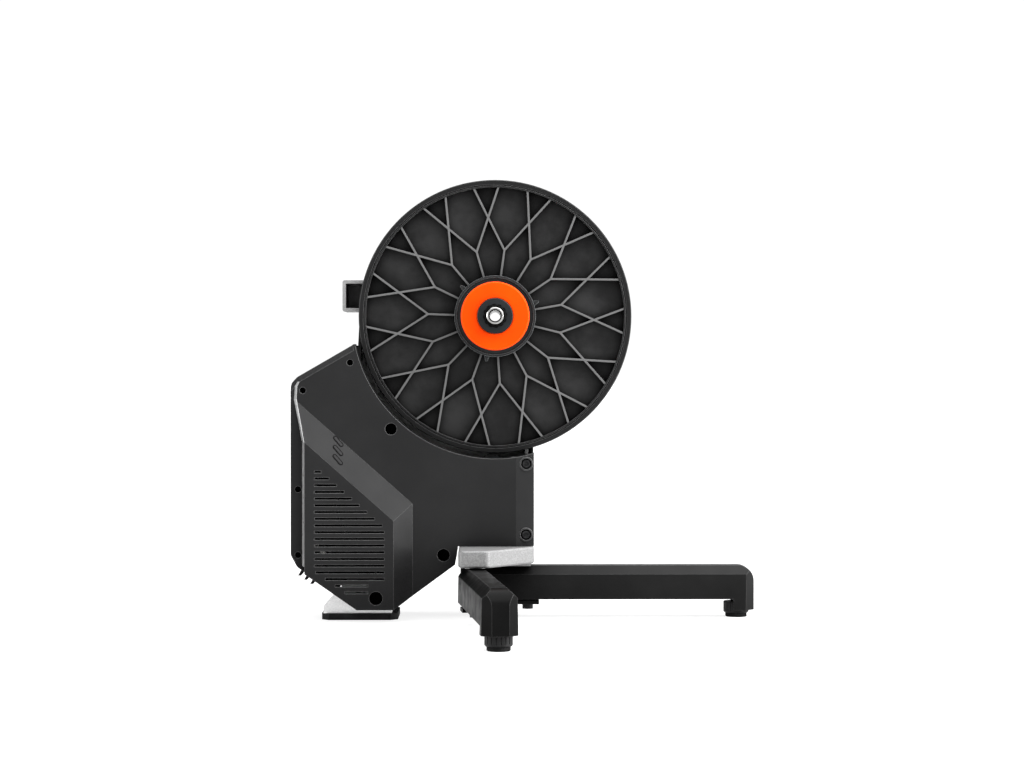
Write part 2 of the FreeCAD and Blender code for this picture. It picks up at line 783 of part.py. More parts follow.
# Plastic covers

def cover_outline(top_corners):
    return [
        ("-case_peak_x", "-case_peak_drop"), ("-case_shoulder_x", "-case_shoulder_drop"),
        ("-case_rear", "-case_rear_top"), ("-case_rear", "-case_heel_drop"),
        ("-case_heel_x", "-case_heel_low"), ("-case_base_rear", "-case_base_drop"),
        ("-case_base_front", "-case_base_drop"), ("-case_notch_x", "-case_notch_low"),
        ("-case_notch_x+3", "-yoke_top+fit_gap"), ("case_front", "-yoke_top+fit_gap"),
    ] + top_corners


def box_outline(x_low, x_high, z_low, z_high):
    return [(x_low, z_low), (x_high, z_low), (x_high, z_high), (x_low, z_high)]


def edge_at(x, first, second):
    """Height at x of the straight edge through two corners of the cover's outline."""
    (xa, za), (xb, zb) = first, second
    return f"(({za})+(({x})-({xa}))*(({zb})-({za}))/(({xb})-({xa})))"


LOWER_FRONT = (("-case_base_front", "-case_base_drop"), ("-case_notch_x", "-case_notch_low"))
LOWER_REAR = (("-case_base_rear", "-case_base_drop"), ("-case_heel_x", "-case_heel_low"))
BUMP_SLOPE = "((bump_apex_x-bump_foot_x)/(bump_foot_drop-bump_apex_drop))"
RIDGE_X = f"(-bump_top_x-(bump_top_drop-bump_left_drop-0.8)*{BUMP_SLOPE})"


def bump_sections():
    """Outer foot and top of the vent bump, then the same two inside its wall."""
    wall = "case_wall"
    front_low = edge_at("-bump_foot_x", *LOWER_FRONT)
    rear_low = edge_at("-bump_left", *LOWER_REAR)
    base, left = "-case_base_drop", "-bump_left"
    foot = [
        ("-bump_apex_x", "-bump_apex_drop"), ("-bump_foot_x", "-bump_foot_drop"),
        ("-bump_foot_x", front_low), ("-case_base_front", base), ("-case_base_rear", base),
        (left, rear_low), (left, "-bump_left_drop"),
    ]
    top = [
        (RIDGE_X, "-bump_left_drop-0.8"), ("-bump_top_x", "-bump_top_drop"),
        ("-bump_top_x", base), ("-bump_top_x-2", base), ("-case_base_rear", base),
        (left, rear_low), (left, "-bump_left_drop"),
    ]
    foot_inside = [
        (f"-bump_apex_x+1.6*{wall}", f"-bump_apex_drop-3*{wall}"),
        (f"-bump_foot_x-1.4*{wall}", f"-bump_foot_drop-0.6*{wall}"),
        (f"-bump_foot_x-1.4*{wall}", f"{front_low}+2.5*{wall}"),
        (f"-case_base_front-0.5*{wall}", f"{base}+{wall}"),
        (f"-case_base_rear+0.3*{wall}", f"{base}+{wall}"),
        (f"{left}+{wall}", f"{rear_low}+{wall}"), (f"{left}+{wall}", "-bump_left_drop"),
    ]
    top_inside = [
        (f"{RIDGE_X}+{wall}", f"-bump_left_drop-1.6*{wall}"),
        (f"-bump_top_x-{wall}", f"-bump_top_drop-0.5*{wall}"),
        (f"-bump_top_x-{wall}", f"{base}+{wall}"), (f"-bump_top_x-2-{wall}", f"{base}+{wall}"),
        (f"-case_base_rear+0.3*{wall}", f"{base}+{wall}"),
        (f"{left}+{wall}", f"{rear_low}+{wall}"), (f"{left}+{wall}", f"-bump_left_drop-{wall}"),
    ]
    return foot, top, foot_inside, top_inside


def foot_profile(margin="0"):
    """The rear foot seen from the side, grown by a margin for the gap in the covers."""
    low, top = f"({FLOOR}+rear_pad_height)", "-foot_top"
    back, front = f"(-rear_foot_back-{margin})", f"(-rear_foot_front+{margin})"
    return [
        (back, f"{low}-{margin}"), (back, f"{low}+rear_foot_toe"),
        (f"{back}+rear_foot_bend", f"{low}+rear_foot_toe+rear_foot_bend"),
        (f"{back}+rear_foot_rise", f"{top}+{margin}"), ("-rear_foot_front-6", f"{top}+{margin}"),
        (front, f"{top}-8"), (front, f"{low}-{margin}"),
    ]


def loft(piece, sections, cut=False):
    """A straight-sided loft through (depth toward the viewer, outline) pairs."""
    sketches = []
    for depth, outline in sections:
        sketch = sketch_on(piece, "front", depth)
        add_polygon(sketch, outline)
        sketches.append(sketch)
    kind = "PartDesign::SubtractiveLoft" if cut else "PartDesign::AdditiveLoft"
    feature = piece.newObject(kind, f"{piece.Label}_loft")
    feature.Profile = sketches[0]
    feature.Sections = sketches[1:]
    feature.Ruled = True
    return feature


def vent_slots():
    """Level slots that step along the bump's slanted edge and its lower corner."""
    slots = []
    for number in range(int(value("slot_count"))):
        top = f"-slot_first-{number}*slot_pitch"
        low = f"{top}-slot_height"
        diagonal = f"{RIDGE_X}+({number}*slot_pitch+slot_first-bump_left_drop)*{BUMP_SLOPE}-2*slot_margin"
        corner = (f"-case_base_rear-(case_base_drop-slot_first-{number}*slot_pitch)"
                  f"*(case_heel_x-case_base_rear)/(case_base_drop-case_heel_low)+1.9*slot_margin")
        screw_side = "-slot_right-2*slot_margin" if number > value("slot_count") - 3 else "-slot_right"
        left = f"max(-slot_left;{corner})"
        right = f"min({screw_side};{diagonal})"
        slots.append([(left, low), (right, low), (right, top), (left, top)])
    return slots


def screw_towers(piece, places, outer, hole, depth, shank):
    """Tubes that reach back to the frame, with a sunk seat and a hole for each screw."""
    near, end = "-case_near", "-frame_near"
    for x, z in places:
        block(piece, "front", f"{near}+1", end, [(x, z, outer)])
    for x, z in places:
        block(piece, "front", f"{near}-1", f"{near}+{depth}", [(x, z, hole)], cut=True)
        block(piece, "front", f"{near}+1", f"{end}+1", [(x, z, shank)], cut=True)


def round_corners(piece):
    """Soft outer corners down the side of a cover, away from the arc."""
    corners = [(value(x), value(z)) for x, z in cover_outline([])[1:7]]
    fillet(piece, "case_round", lambda middle, run: abs(run.y) > 0.99 and any(
        math.hypot(middle.x - x, middle.z - z) < 0.01 for x, z in corners))


def make_right_cover():
    piece = start("right_cover")
    near, split = "-case_near", "-case_split"
    inside = f"{near}+case_wall"
    block(piece, "front", near, split,
          [cover_outline([("case_front", "-100"), ("-130", "-case_peak_drop")])])
    before_arc = value("-case_peak_x")
    chamfer(piece, "case_bevel", lambda middle, run: abs(middle.y - value(near)) < 0.01
            and middle.x < before_arc and middle.z > value("-case_rear_top"))
    hollow(piece, "case_wall", lambda centre, normal: abs(centre.y - value(split)) < 0.01
           and abs(normal.y) > 0.99)
    round_corners(piece)
    lip = "case_arc_radius+case_wall"
    block(piece, "front", near, "-case_arc_depth", [("0", "0", lip)])
    block(piece, "front", f"{near}-1", f"{split}+1", [("0", "0", "case_arc_radius")], cut=True)
    block(piece, "front", "-case_arc_depth", f"{split}+1", [("0", "0", f"{lip}+3")], cut=True)
    far_out = "(case_arc_radius+20)"
    above = [
        ("-case_peak_x", "-case_peak_drop"), ("-case_shoulder_x", "-case_shoulder_drop"),
        ("-case_shoulder_x", far_out), (far_out, far_out), (far_out, f"-{far_out}"),
        ("case_front", f"-{far_out}"), ("case_front", "-case_peak_drop"),
    ]
    block(piece, "front", f"{near}-1", f"{split}+1", [above], cut=True)
    slope_start = "case_front-case_strip"
    backing = [
        (f"{slope_start}-6", f"{inside}-0.5"), ("case_front-1", f"{inside}-0.5"),
        ("case_front-1", f"{inside}+case_strip_slope"),
    ]
    block(piece, "top", "-yoke_top+fit_gap", f"-{lip}-1", [backing])
    strip = [
        (slope_start, f"{near}-1"), ("case_front+1", f"{near}-1"),
        ("case_front+1", f"{near}+case_strip_slope"), (slope_start, near),
    ]
    block(piece, "top", "-yoke_top-1", "-100", [strip], cut=True)
    foot, top, foot_inside, top_inside = bump_sections()
    loft(piece, [("case_near", foot), ("bump_front", top)])
    loft(piece, [("case_near-case_wall-0.5", foot_inside), ("bump_front-case_wall", top_inside)], cut=True)
    screw_towers(piece, SMALL_SCREWS, "tower_radius", "screw_hole", "screw_depth", "screw_shank+0.1")
    screw_towers(piece, EDGE_SCREWS, "edge_tower", "edge_hole", "edge_depth", "screw_shank+0.1")
    for x, z, radius, face in ACCESS_HOLES:
        block(piece, "front", f"{face}+1", f"{face}+well_depth", [(x, z, f"{radius}+well_wall")])
    for x, z, radius, face in ACCESS_HOLES:
        block(piece, "front", f"{face}-1", f"{face}+well_depth-well_wall", [(x, z, radius)], cut=True)
    block(piece, "front", "-bump_front-1", "-bump_front+case_wall+1", vent_slots(), cut=True)
    low, high = "-yoke_top-2", "-yoke_top+plinth_height+1"
    for begin, x_high in (("-plinth_reach-1", "plinth_front"), ("-frame_near-1", "arm_front")):
        gap = box_outline("-arm_front-1", f"{x_high}+1", low, high)
        block(piece, "front", begin, f"{split}+1", [gap], cut=True)
    foot_gap = foot_profile("foot_clearance")
    block(piece, "front", "-rear_foot_reach-foot_clearance", f"{split}+1", [foot_gap], cut=True)
    feet = [(x, z, "standoff") for x, z in STANDOFFS]
    block(piece, "front", f"{inside}-1", "-board_front", feet)
    for number in range(3):
        fin_x = f"(-case_heel_x+fin_first+{number}*fin_pitch)"
        fin_z = edge_at(fin_x, *LOWER_REAR)
        fin = [
            (fin_x, f"{fin_z}+1"), (f"{fin_x}+fin_thickness", f"{fin_z}+1"),
            (f"{fin_x}+fin_thickness-fin_lean", f"{fin_z}-fin_drop"),
            (f"{fin_x}-fin_lean", f"{fin_z}-fin_drop"),
        ]
        block(piece, "front", f"{inside}", "-rear_foot_reach+10", [fin])


def make_left_cover():
    piece = start("left_cover")
    split, far = "case_split", "case_far"
    block(piece, "front", split, far, [cover_outline([("case_front", "-left_top_drop")])])
    chamfer(piece, "case_bevel-1", lambda middle, run: abs(middle.y - value(far)) < 0.01)
    hollow(piece, "case_wall", lambda centre, normal: abs(centre.y - value(split)) < 0.01
           and abs(normal.y) > 0.99)
    arm_gap = box_outline("-case_peak_x-2", "arm_front+1", "-case_shoulder_drop-30", "0")
    block(piece, "front", f"{split}-1", "frame_far+fit_gap", [arm_gap], cut=True)
    round_corners(piece)
    yoke_gap = box_outline("-arm_front-1", "arm_front+1", "-yoke_top-2", "-yoke_top+plinth_height+1")
    block(piece, "front", f"{split}-1", "frame_far+fit_gap", [yoke_gap], cut=True)
    foot_gap = foot_profile("foot_clearance")
    block(piece, "front", f"{split}-1", "rear_foot_reach+foot_clearance", [foot_gap], cut=True)
    slot = box_outline("-flywheel_back-45", "-flywheel_back+45", "-flywheel_drop-52", "-flywheel_drop-48")
    first = block(piece, "front", f"{far}-case_wall-1", f"{far}+1", [slot], cut=True)
    row_of(piece, [first], "11", "10", "Z_Axis")
    for x, z in SMALL_SCREWS + EDGE_SCREWS:
        block(piece, "front", "frame_far", f"{far}-1", [(x, z, "tower_radius")])
        block(piece, "front", f"{far}-case_wall-2", f"{far}+1", [(x, z, "screw_hole")], cut=True)
        block(piece, "front", "frame_far-1", f"{far}", [(x, z, "screw_shank+0.1")], cut=True)
    inlet = ("socket_depth", "-socket_drop", "socket_radius")
    block(piece, "side", "-case_rear-1", "-case_rear+case_wall+1", [inlet], cut=True)


def make_cover_screws(label, side):
    """Cap-head screws, each sunk in its tower and biting into the frame."""
    piece = start(label)
    frame = "-frame_near" if side < 0 else "frame_far"
    groups = [(SMALL_SCREWS, "screw_head", "screw_depth"), (EDGE_SCREWS, "edge_head", "edge_depth")]
    for places, head, depth in groups:
        for x, z in places:
            if side < 0:
                seat = f"(-case_near+{depth})"
                block(piece, "front", f"{seat}-3", seat, [(x, z, head)])
                block(piece, "front", seat, f"{frame}+screw_bite", [(x, z, "screw_shank")])
            else:
                seat = "(case_far-case_wall-2)"
                block(piece, "front", seat, f"{seat}+3", [(x, z, "screw_head")])
                block(piece, "front", f"{frame}-screw_bite", seat, [(x, z, "screw_shank")])


# Belt drive, flywheel and resistance unit

def tangent(first, second, crossed):
    """Contact points of the belt line from one circle to the next, running clockwise."""
    (xa, za, ra), (xb, zb, rb) = first, second
    dx, dz = xb - xa, zb - za
    distance = math.hypot(dx, dz)
    heading = math.atan2(dz, dx)
    ra_side, rb_side = (ra, -rb) if crossed == "out" else (-ra, rb) if crossed == "in" else (ra, rb)
    lift = math.acos((ra_side - rb_side) / distance)
    angle = heading + lift
    ux, uz = math.cos(angle), math.sin(angle)
    return (xa + ra_side * ux, za + ra_side * uz), (xb + rb_side * ux, zb + rb_side * uz)


def belt_wire(offset):
    """The belt's closed path round both pulleys and behind the idler, moved out by offset."""
    big = (0, 0, value("belt_land_radius") + offset)
    small = (value(FLYWHEEL_X), value(FLYWHEEL_Z), value("small_land_radius") + offset)
    idler = (0, value("-idler_drop"), value("idler_radius+belt_gap+belt_gap+belt_thickness") - offset)
    left_small, left_big = tangent(small, big, "same")
    right_big, idler_in = tangent(big, idler, "out")
    idler_out, right_small = tangent(idler, small, "in")

    def point(place):
        return FreeCAD.Vector(place[0], 0, place[1])

    def arc(circle, begin, through_angle, end):
        x, z, radius = circle
        through = (x + radius * math.cos(through_angle), z + radius * math.sin(through_angle))
        return Part.Arc(point(begin), point(through), point(end)).toShape()

    idler_middle = math.atan2((idler_in[1] + idler_out[1]) / 2 - idler[1],
                              (idler_in[0] + idler_out[0]) / 2 - idler[0])
    away = math.atan2(small[1], small[0])
    return Part.Wire([
        arc(big, left_big, math.radians(45), right_big),
        Part.LineSegment(point(right_big), point(idler_in)).toShape(),
        arc(idler, idler_in, idler_middle, idler_out),
        Part.LineSegment(point(idler_out), point(right_small)).toShape(),
        arc(small, right_small, away, left_small),
        Part.LineSegment(point(left_small), point(left_big)).toShape(),
    ])


def make_belt():
    inner = Part.Face(belt_wire(value("belt_gap")))
    outer = Part.Face(belt_wire(value(BELT_OUTER)))
    near, far = value(BELT_NEAR), value(BELT_FAR)
    band = outer.cut(inner).extrude(FreeCAD.Vector(0, far - near, 0))
    piece = doc.addObject("Part::Feature", "belt")
    piece.Label = "belt"
    piece.Shape = band.Solids[0]
    piece.Placement = FreeCAD.Placement(FreeCAD.Vector(0, near, 0), FreeCAD.Rotation())
    LOOSE_PARTS.append("belt")


def make_small_pulley():
    piece = start("small_pulley", FLYWHEEL_X, "0", FLYWHEEL_Z)
    rim = "small_land_radius+small_flange"
    near, far = "-pulley_front+flange_width", "-pulley_back-flange_width"
    turn(piece, [
        ("shaft_radius", f"{near}-1.4"), (rim, f"{near}-1.4"), (rim, near),
        ("small_land_radius", near), ("small_land_radius", far), (rim, far), (rim, f"{far}+1.4"),
        ("shaft_bearing_radius-5", f"{far}+1.4"), ("shaft_bearing_radius-5", "-frame_near-1"),
        ("shaft_radius", "-frame_near-1"),
    ])


def make_flywheel():
    piece = start("flywheel", FLYWHEEL_X, "0", FLYWHEEL_Z)
    near, far = "-flywheel_front", "-flywheel_inner"
    rim = "flywheel_radius-flywheel_rim"
    web = f"{near}+flywheel_recess"
    turn(piece, [
        ("shaft_radius", web), (rim, web), (f"{rim}+1.5", near), ("flywheel_radius-1.5", near),
        ("flywheel_radius", f"{near}+1.5"), ("flywheel_radius", f"{far}-1.5"),
        ("flywheel_radius-1.5", far), (rim, far), (rim, f"{web}+flywheel_web"),
        ("shaft_bearing_radius", f"{web}+flywheel_web"), ("shaft_bearing_radius", "-pulley_front+1.1"),
        ("shaft_radius", "-pulley_front+1.1"),
    ])


def make_flywheel_shaft():
    piece = start("flywheel_shaft", FLYWHEEL_X, "0", FLYWHEEL_Z)
    front = "-flywheel_front+flywheel_recess-7"
    turn(piece, [
        ("0", front), ("shaft_radius-0.8", front), ("shaft_radius", f"{front}+0.8"),
        ("shaft_radius", "frame_far-1"), ("0", "frame_far-1"),
    ])


def make_flywheel_nut():
    piece = start("flywheel_nut", FLYWHEEL_X, "0", FLYWHEEL_Z)
    corners = [(f"shaft_nut/2/cos(30)*cos({60 * k})", f"shaft_nut/2/cos(30)*sin({60 * k})")
               for k in range(6)]
    face = "-flywheel_front+flywheel_recess"
    block(piece, "front", f"{face}-6", face, [corners, ("0", "0", "shaft_radius")])


def make_idler():
    wheel = start("belt_idler", "0", "0", "-idler_drop")
    tube(wheel, "idler_pin_radius+running_gap", "idler_radius", BELT_NEAR, BELT_FAR)
    pin = start("idler_bolt", "0", "0", "-idler_drop")
    turn(pin, [
        ("0", f"{BELT_NEAR}-3.3"), ("idler_pin_radius+3", f"{BELT_NEAR}-3.3"),
        ("idler_pin_radius+3", f"{BELT_NEAR}-0.3"), ("idler_pin_radius", f"{BELT_NEAR}-0.3"),
        ("idler_pin_radius", "-frame_near+screw_bite-0.5"), ("0", "-frame_near+screw_bite-0.5"),
    ])
    spacer = start("idler_spacer", "0", "0", "-idler_drop")
    tube(spacer, "idler_pin_radius", "idler_pin_radius+3", f"{BELT_FAR}+0.3", "-frame_near")


def sector(inner, outer, first, last, steps):
    """A ring sector about the flywheel as a faceted outline."""
    angles = [first + (last - first) * k / steps for k in range(steps + 1)]
    out = [polar(outer, angle, FLYWHEEL_X, FLYWHEEL_Z) for angle in angles]
    back = [polar(inner, angle, FLYWHEEL_X, FLYWHEEL_Z) for angle in reversed(angles)]
    return out + back


def make_magnet_shoe():
    shoe = start("magnet_shoe")
    first, last, facets = 174, 226, 5
    half_step = (last - first) / facets / 2
    seat = "(shoe_inner_radius+magnet_depth)"
    outline = sector(f"({seat})", f"({seat}+shoe_depth)", first, last, facets)
    block(shoe, "front", "-shoe_front", "-shoe_back", [outline])
    block(shoe, "front", "-shoe_front", "-shoe_back", [(SHOE_PIVOT_X, SHOE_PIVOT_Z, "shoe_pin_radius+4")])
    lug_top = "(-flywheel_drop+motor_rise-motor_size/2-motor_reach-shoe_lug_gap)"
    lug = box_outline(f"-flywheel_back-{seat}-2", f"-flywheel_back-{seat}+magnet_depth",
                      f"{lug_top}-shoe_lug", lug_top)
    block(shoe, "front", "-shoe_front", "-shoe_back", [lug])
    block(shoe, "front", "-shoe_front-1", "-shoe_back+1",
          [(SHOE_PIVOT_X, SHOE_PIVOT_Z, "shoe_pin_radius+running_gap")], cut=True)
    magnets = start("brake_magnets")
    for k in range(facets):
        middle = first + (last - first) * (k + 0.5) / facets
        outline = []
        for depth, side in ((0, 1), (0, -1), (1, -1), (1, 1)):
            x, z = polar(f"{seat}*cos({half_step})-{depth}*magnet_depth", middle, FLYWHEEL_X, FLYWHEEL_Z)
            shift_x, shift_z = polar(f"{side}*magnet_width/2", middle + 90)
            outline.append((f"{x}+{shift_x}", f"{z}+{shift_z}"))
        block(magnets, "front", "-shoe_front+1", "-shoe_back-1", [outline])
    pin = start("shoe_pin", SHOE_PIVOT_X, "0", SHOE_PIVOT_Z)
    turn(pin, [
        ("0", "-shoe_front-2.3"), ("shoe_pin_radius+2.5", "-shoe_front-2.3"),
        ("shoe_pin_radius+2.5", "-shoe_front-0.3"), ("shoe_pin_radius", "-shoe_front-0.3"),
        ("shoe_pin_radius", "-frame_near+screw_bite-0.5"), ("0", "-frame_near+screw_bite-0.5"),
    ])


def group_of_bolts(label, places, head, head_height, shank, low, high):
    """Upright bolts: heads stand on high and shanks reach down to low."""
    piece = start(label)
    for x, y in places:
        block(piece, "top", high, f"{high}+{head_height}", [(x, y, head)])
        block(piece, "top", low, high, [(x, y, shank)])


# Legs, feet and what they bolt to

def make_leg_bracket():
    piece = start("leg_bracket")
    top = "-yoke_top"
    outline = [
        ("-yoke_ear_back", "-yoke_ear_reach"), ("-yoke_ear_front", "-yoke_ear_reach"),
        ("case_front", "-yoke_side_reach"), ("case_front", "yoke_side_reach"),
        ("-yoke_ear_front", "yoke_ear_reach"), ("-yoke_ear_back", "yoke_ear_reach"),
    ]
    block(piece, "top", YOKE_LOW, top, [outline])
    fillet(piece, "yoke_round", lambda middle, run: abs(run.z) > 0.99)
    fillet(piece, "yoke_edge", lambda middle, run: abs(run.z) < 0.01)
    pad = box_outline("-front_leg_root", "case_front-3", "-leg_half_width", "leg_half_width")
    block(piece, "top", FRONT_LEG_TOP, f"{YOKE_LOW}+1", [pad])
    holes = [(x, y, "pivot_bolt_radius") for x, y in PIVOTS]
    block(piece, "top", f"{YOKE_LOW}-1", f"{top}-bolt_ceiling", holes, cut=True)
    bolts = [(x, y, "yoke_bolt_radius") for x, y in YOKE_BOLTS]
    block(piece, "top", f"{top}-yoke_bolt_bite", f"{top}+1", bolts, cut=True)
    front = [("front_bolt_x", "0", "yoke_bolt_radius")]
    block(piece, "top", f"{FRONT_LEG_TOP}-1", f"{top}-front_ceiling", front, cut=True)


def make_leg(label, x, y, angle, top, beam, skirt, root, tip, bolt_at, bolt_radius, foot_at):
    """An upside-down channel along the piece's X, with solid ends for the bolt and the foot."""
    piece = start(label, x, y)
    link(piece, ".Placement.Rotation.Angle", angle)
    profile = [
        (f"-{root}", beam), (f"-{root}", top), (tip, top), (tip, skirt),
        (f"{tip}-skirt_length", skirt), (f"{tip}-skirt_length", beam),
    ]
    block(piece, "front", "-leg_half_width", "leg_half_width", [profile])
    fillet(piece, "leg_tip_round", lambda middle, run: abs(run.y) > 0.99
           and abs(middle.x - value(tip)) < 0.01 and abs(middle.z - value(top)) < 0.01)
    fillet(piece, "leg_half_width-3", lambda middle, run: abs(run.z) > 0.99
           and abs(middle.x + value(root)) < 0.01)
    wedges, corners = [], []
    for side in ("1", "-1"):
        wedges.append([
            (f"{side}*leg_crown", top), (f"{side}*leg_shoulder", f"{top}-leg_bevel"),
            (f"{side}*leg_half_width", skirt), (f"{side}*(leg_half_width+2)", skirt),
            (f"{side}*(leg_half_width+2)", f"{top}+1"), (f"{side}*leg_crown", f"{top}+1"),
        ])
        corners.append([
            (f"{tip}-tip_chamfer", f"{side}*leg_half_width"),
            (tip, f"{side}*(leg_half_width-tip_chamfer)"),
            (f"{tip}+1", f"{side}*(leg_half_width-tip_chamfer)"),
            (f"{tip}+1", f"{side}*(leg_half_width+2)"),
            (f"{tip}-tip_chamfer", f"{side}*(leg_half_width+2)"),
        ])
    block(piece, "side", f"-{root}-1", f"{tip}+1", wedges, cut=True)
    block(piece, "top", f"{skirt}-1", f"{top}+1", corners, cut=True)
    inner = [
        ("-leg_half_width+leg_wall", f"{beam}-1"), ("leg_half_width-leg_wall", f"{beam}-1"),
        ("leg_shoulder-leg_wall", f"{top}-leg_bevel-leg_wall/2"),
        ("leg_crown-leg_wall/3", f"{top}-leg_wall"), ("-leg_crown+leg_wall/3", f"{top}-leg_wall"),
        ("-leg_shoulder+leg_wall", f"{top}-leg_bevel-leg_wall/2"),
    ]
    begin, end = f"({bolt_at}+root_block)", f"({tip}-tip_block)"
    for third in range(3):
        low = f"{begin}+({end}-{begin})*{third}/3+leg_rib/2"
        high = f"{begin}+({end}-{begin})*{third + 1}/3-leg_rib/2"
        block(piece, "side", low, high, [inner], cut=True)
    block(piece, "top", PLATE_TOP, f"{beam}+1", [(bolt_at, "0", "bolt_head_radius+3")])
    block(piece, "top", f"{PLATE_TOP}-1", f"{top}+1", [(bolt_at, "0", bolt_radius)], cut=True)
    recess = f"{FLOOR}+pad_height+knob_height+foot_travel+1"
    block(piece, "top", f"{skirt}-1", recess, [(foot_at, "0", "knob_radius+knob_clearance")], cut=True)
    stud = [(foot_at, "0", "stud_radius+running_gap")]
    block(piece, "top", f"{skirt}-1", f"{recess}+stud_length-knob_height+foot_travel", stud, cut=True)


def make_leg_plate(label, x, y, angle, radius):
    """A steel plate that closes the channel under the bolt."""
    piece = start(label, x, y)
    link(piece, ".Placement.Rotation.Angle", angle)
    outline = box_outline("-plate_length/2", "plate_length/2", "-leg_half_width+leg_wall",
                          "leg_half_width-leg_wall")
    block(piece, "top", f"{PLATE_TOP}-plate_thickness", PLATE_TOP, [outline, ("0", "0", radius)])


def make_leg_bolt(label, places, radius, top):
    piece = start(label)
    low = f"{PLATE_TOP}-plate_thickness"
    for x, y in places:
        block(piece, "top", f"{low}-bolt_head", low, [(x, y, "bolt_head_radius")])
        block(piece, "top", low, top, [(x, y, radius)])


def make_foot(name, x, y):
    """A fluted knob on its stud, with a rubber pad under it."""
    knob = start(f"{name}_foot_knob", x, y)
    low = f"{FLOOR}+pad_height"
    turn(knob, [
        ("0", low), ("knob_radius-1.5", low), ("knob_radius", f"{low}+1.5"),
        ("knob_radius", f"{low}+knob_height"), ("stud_radius", f"{low}+knob_height"),
        ("stud_radius", f"{low}+stud_length"), ("0", f"{low}+stud_length"),
    ], along="Z")
    notch = [("knob_radius-flute_depth", "0"), ("knob_radius+0.5", "-flute_width/2"),
             ("knob_radius+0.5", "flute_width/2")]
    flute = block(knob, "top", f"{low}+3", f"{low}+knob_height+1", [notch], cut=True)
    repeat(knob, [flute], "knob_flutes", "Z_Axis")
    pad = start(f"{name}_foot_pad", x, y)
    turn(pad, [
        ("0", FLOOR), ("pad_radius-0.8", FLOOR), ("pad_radius", f"{FLOOR}+0.8"),
        ("pad_radius", low), ("0", low),
    ], along="Z")


def make_front_leg():
    """The fixed leg that points forward, with its bolt and foot."""
    foot_at = "(front_leg_tip-foot_from_tip)"
    make_leg("front_leg", "0", "0", "0", FRONT_LEG_TOP, f"({FLOOR}+front_leg_beam)",
             f"({FLOOR}+front_leg_skirt)", "front_leg_root", "front_leg_tip", "front_bolt_x",
             "yoke_bolt_radius", foot_at)
    make_leg_plate("front_leg_plate", "front_bolt_x", "0", "0", "yoke_bolt_radius")
    make_leg_bolt("front_leg_bolt", [("front_bolt_x", "0")], "yoke_bolt_radius", "-yoke_top-front_ceiling")
    make_foot("front", foot_at, "0")


def make_side_leg(side, pivot_y, angle):
    """A leg that folds about its pivot bolt, drawn at its angle in use."""
    reach = "(side_leg_length-foot_from_tip)"
    bore = "pivot_bolt_radius+running_gap"
    make_leg(f"{side}_leg", "-pivot_back", pivot_y, angle, SIDE_LEG_TOP, f"({FLOOR}+side_leg_beam)",
             f"({FLOOR}+side_leg_skirt)", "leg_root", "side_leg_length", "0", bore, reach)
    make_leg_plate(f"{side}_leg_plate", "-pivot_back", pivot_y, angle, bore)
    make_foot(side, f"-pivot_back+{reach}*cos({angle})", f"{pivot_y}+{reach}*sin({angle})")


def make_pivot_washers():
    washers = start("pivot_washers")
    for x, y in PIVOTS:
        ring = [(x, y, "washer_radius"), (x, y, "pivot_bolt_radius")]
        block(washers, "top", f"{YOKE_LOW}-pivot_washer", YOKE_LOW, ring)


def make_rear_foot():
    foot = start("rear_foot")
    low = f"{FLOOR}+rear_pad_height"
    block(foot, "front", "-rear_foot_reach", "rear_foot_reach", [foot_profile()])
    holes = [(x, y, "yoke_bolt_radius") for x, y in REAR_FOOT_SCREWS]
    block(foot, "top", "-foot_top-yoke_bolt_bite", "-foot_top+1", holes, cut=True)
    pad = start("rear_foot_pad")
    back, front, reach = "-rear_pad_back", "-rear_pad_front", "rear_pad_reach"
    cut = "rear_pad_chamfer"
    plan = [
        (back, f"-{reach}+{cut}"), (f"{back}+{cut}", f"-{reach}"), (f"{front}-{cut}", f"-{reach}"),
        (front, f"-{reach}+{cut}"), (front, f"{reach}-{cut}"), (f"{front}-{cut}", reach),
        (f"{back}+{cut}", reach), (back, f"{reach}-{cut}"),
    ]
    block(pad, "top", FLOOR, low, [plan])


# Electrical parts

def make_circuit_board():
    piece = start("circuit_board")
    face = "-board_front"
    outline = [("-board_back", "-board_low"), ("-board_right", "-board_low"),
               ("-board_right", "-board_top"), ("-board_back+8", "-board_top"),
               ("-board_back", "-board_top-10")]
    block(piece, "front", face, f"{face}+board_thickness", [outline])
    chips = [
        box_outline("-board_back+8", "-board_back+20", "-board_low+8", "-board_low+20"),
        box_outline("-board_right-18", "-board_right-6", "-board_low+24", "-board_low+32"),
        ("-board_right-12", "-board_low+10", "5"),
    ]
    block(piece, "front", f"{face}+board_thickness", f"{face}+board_thickness+5", chips)


def make_brake_motor():
    """A small motor, hung from its bracket, whose screw bears on the lug of the magnet shoe."""
    back = "(-case_rear+case_clearance+0.5)"
    low = "(-flywheel_drop+motor_rise-motor_size/2)"
    top = f"({low}+motor_size)"
    piece = start("brake_motor")
    square = box_outline("-motor_front", "-motor_front+motor_size", low, top)
    block(piece, "side", back, f"{back}+motor_length", [square])
    screw = [("-flywheel_back-shoe_inner_radius-magnet_depth/5", "-motor_front+motor_size/2", "motor_screw")]
    block(piece, "top", f"{low}-motor_reach", low, screw)
    bracket = start("motor_bracket")
    plate = box_outline("-motor_front", "-frame_near", top, f"{top}+motor_plate")
    block(bracket, "side", back, f"{back}+motor_length", [plate])
    ear = box_outline(back, "-case_rear+case_clearance+frame_wall", f"{top}+motor_plate-0.5",
                      f"{top}+motor_size/2")
    block(bracket, "front", "-frame_near-motor_plate", "-frame_near", [ear])


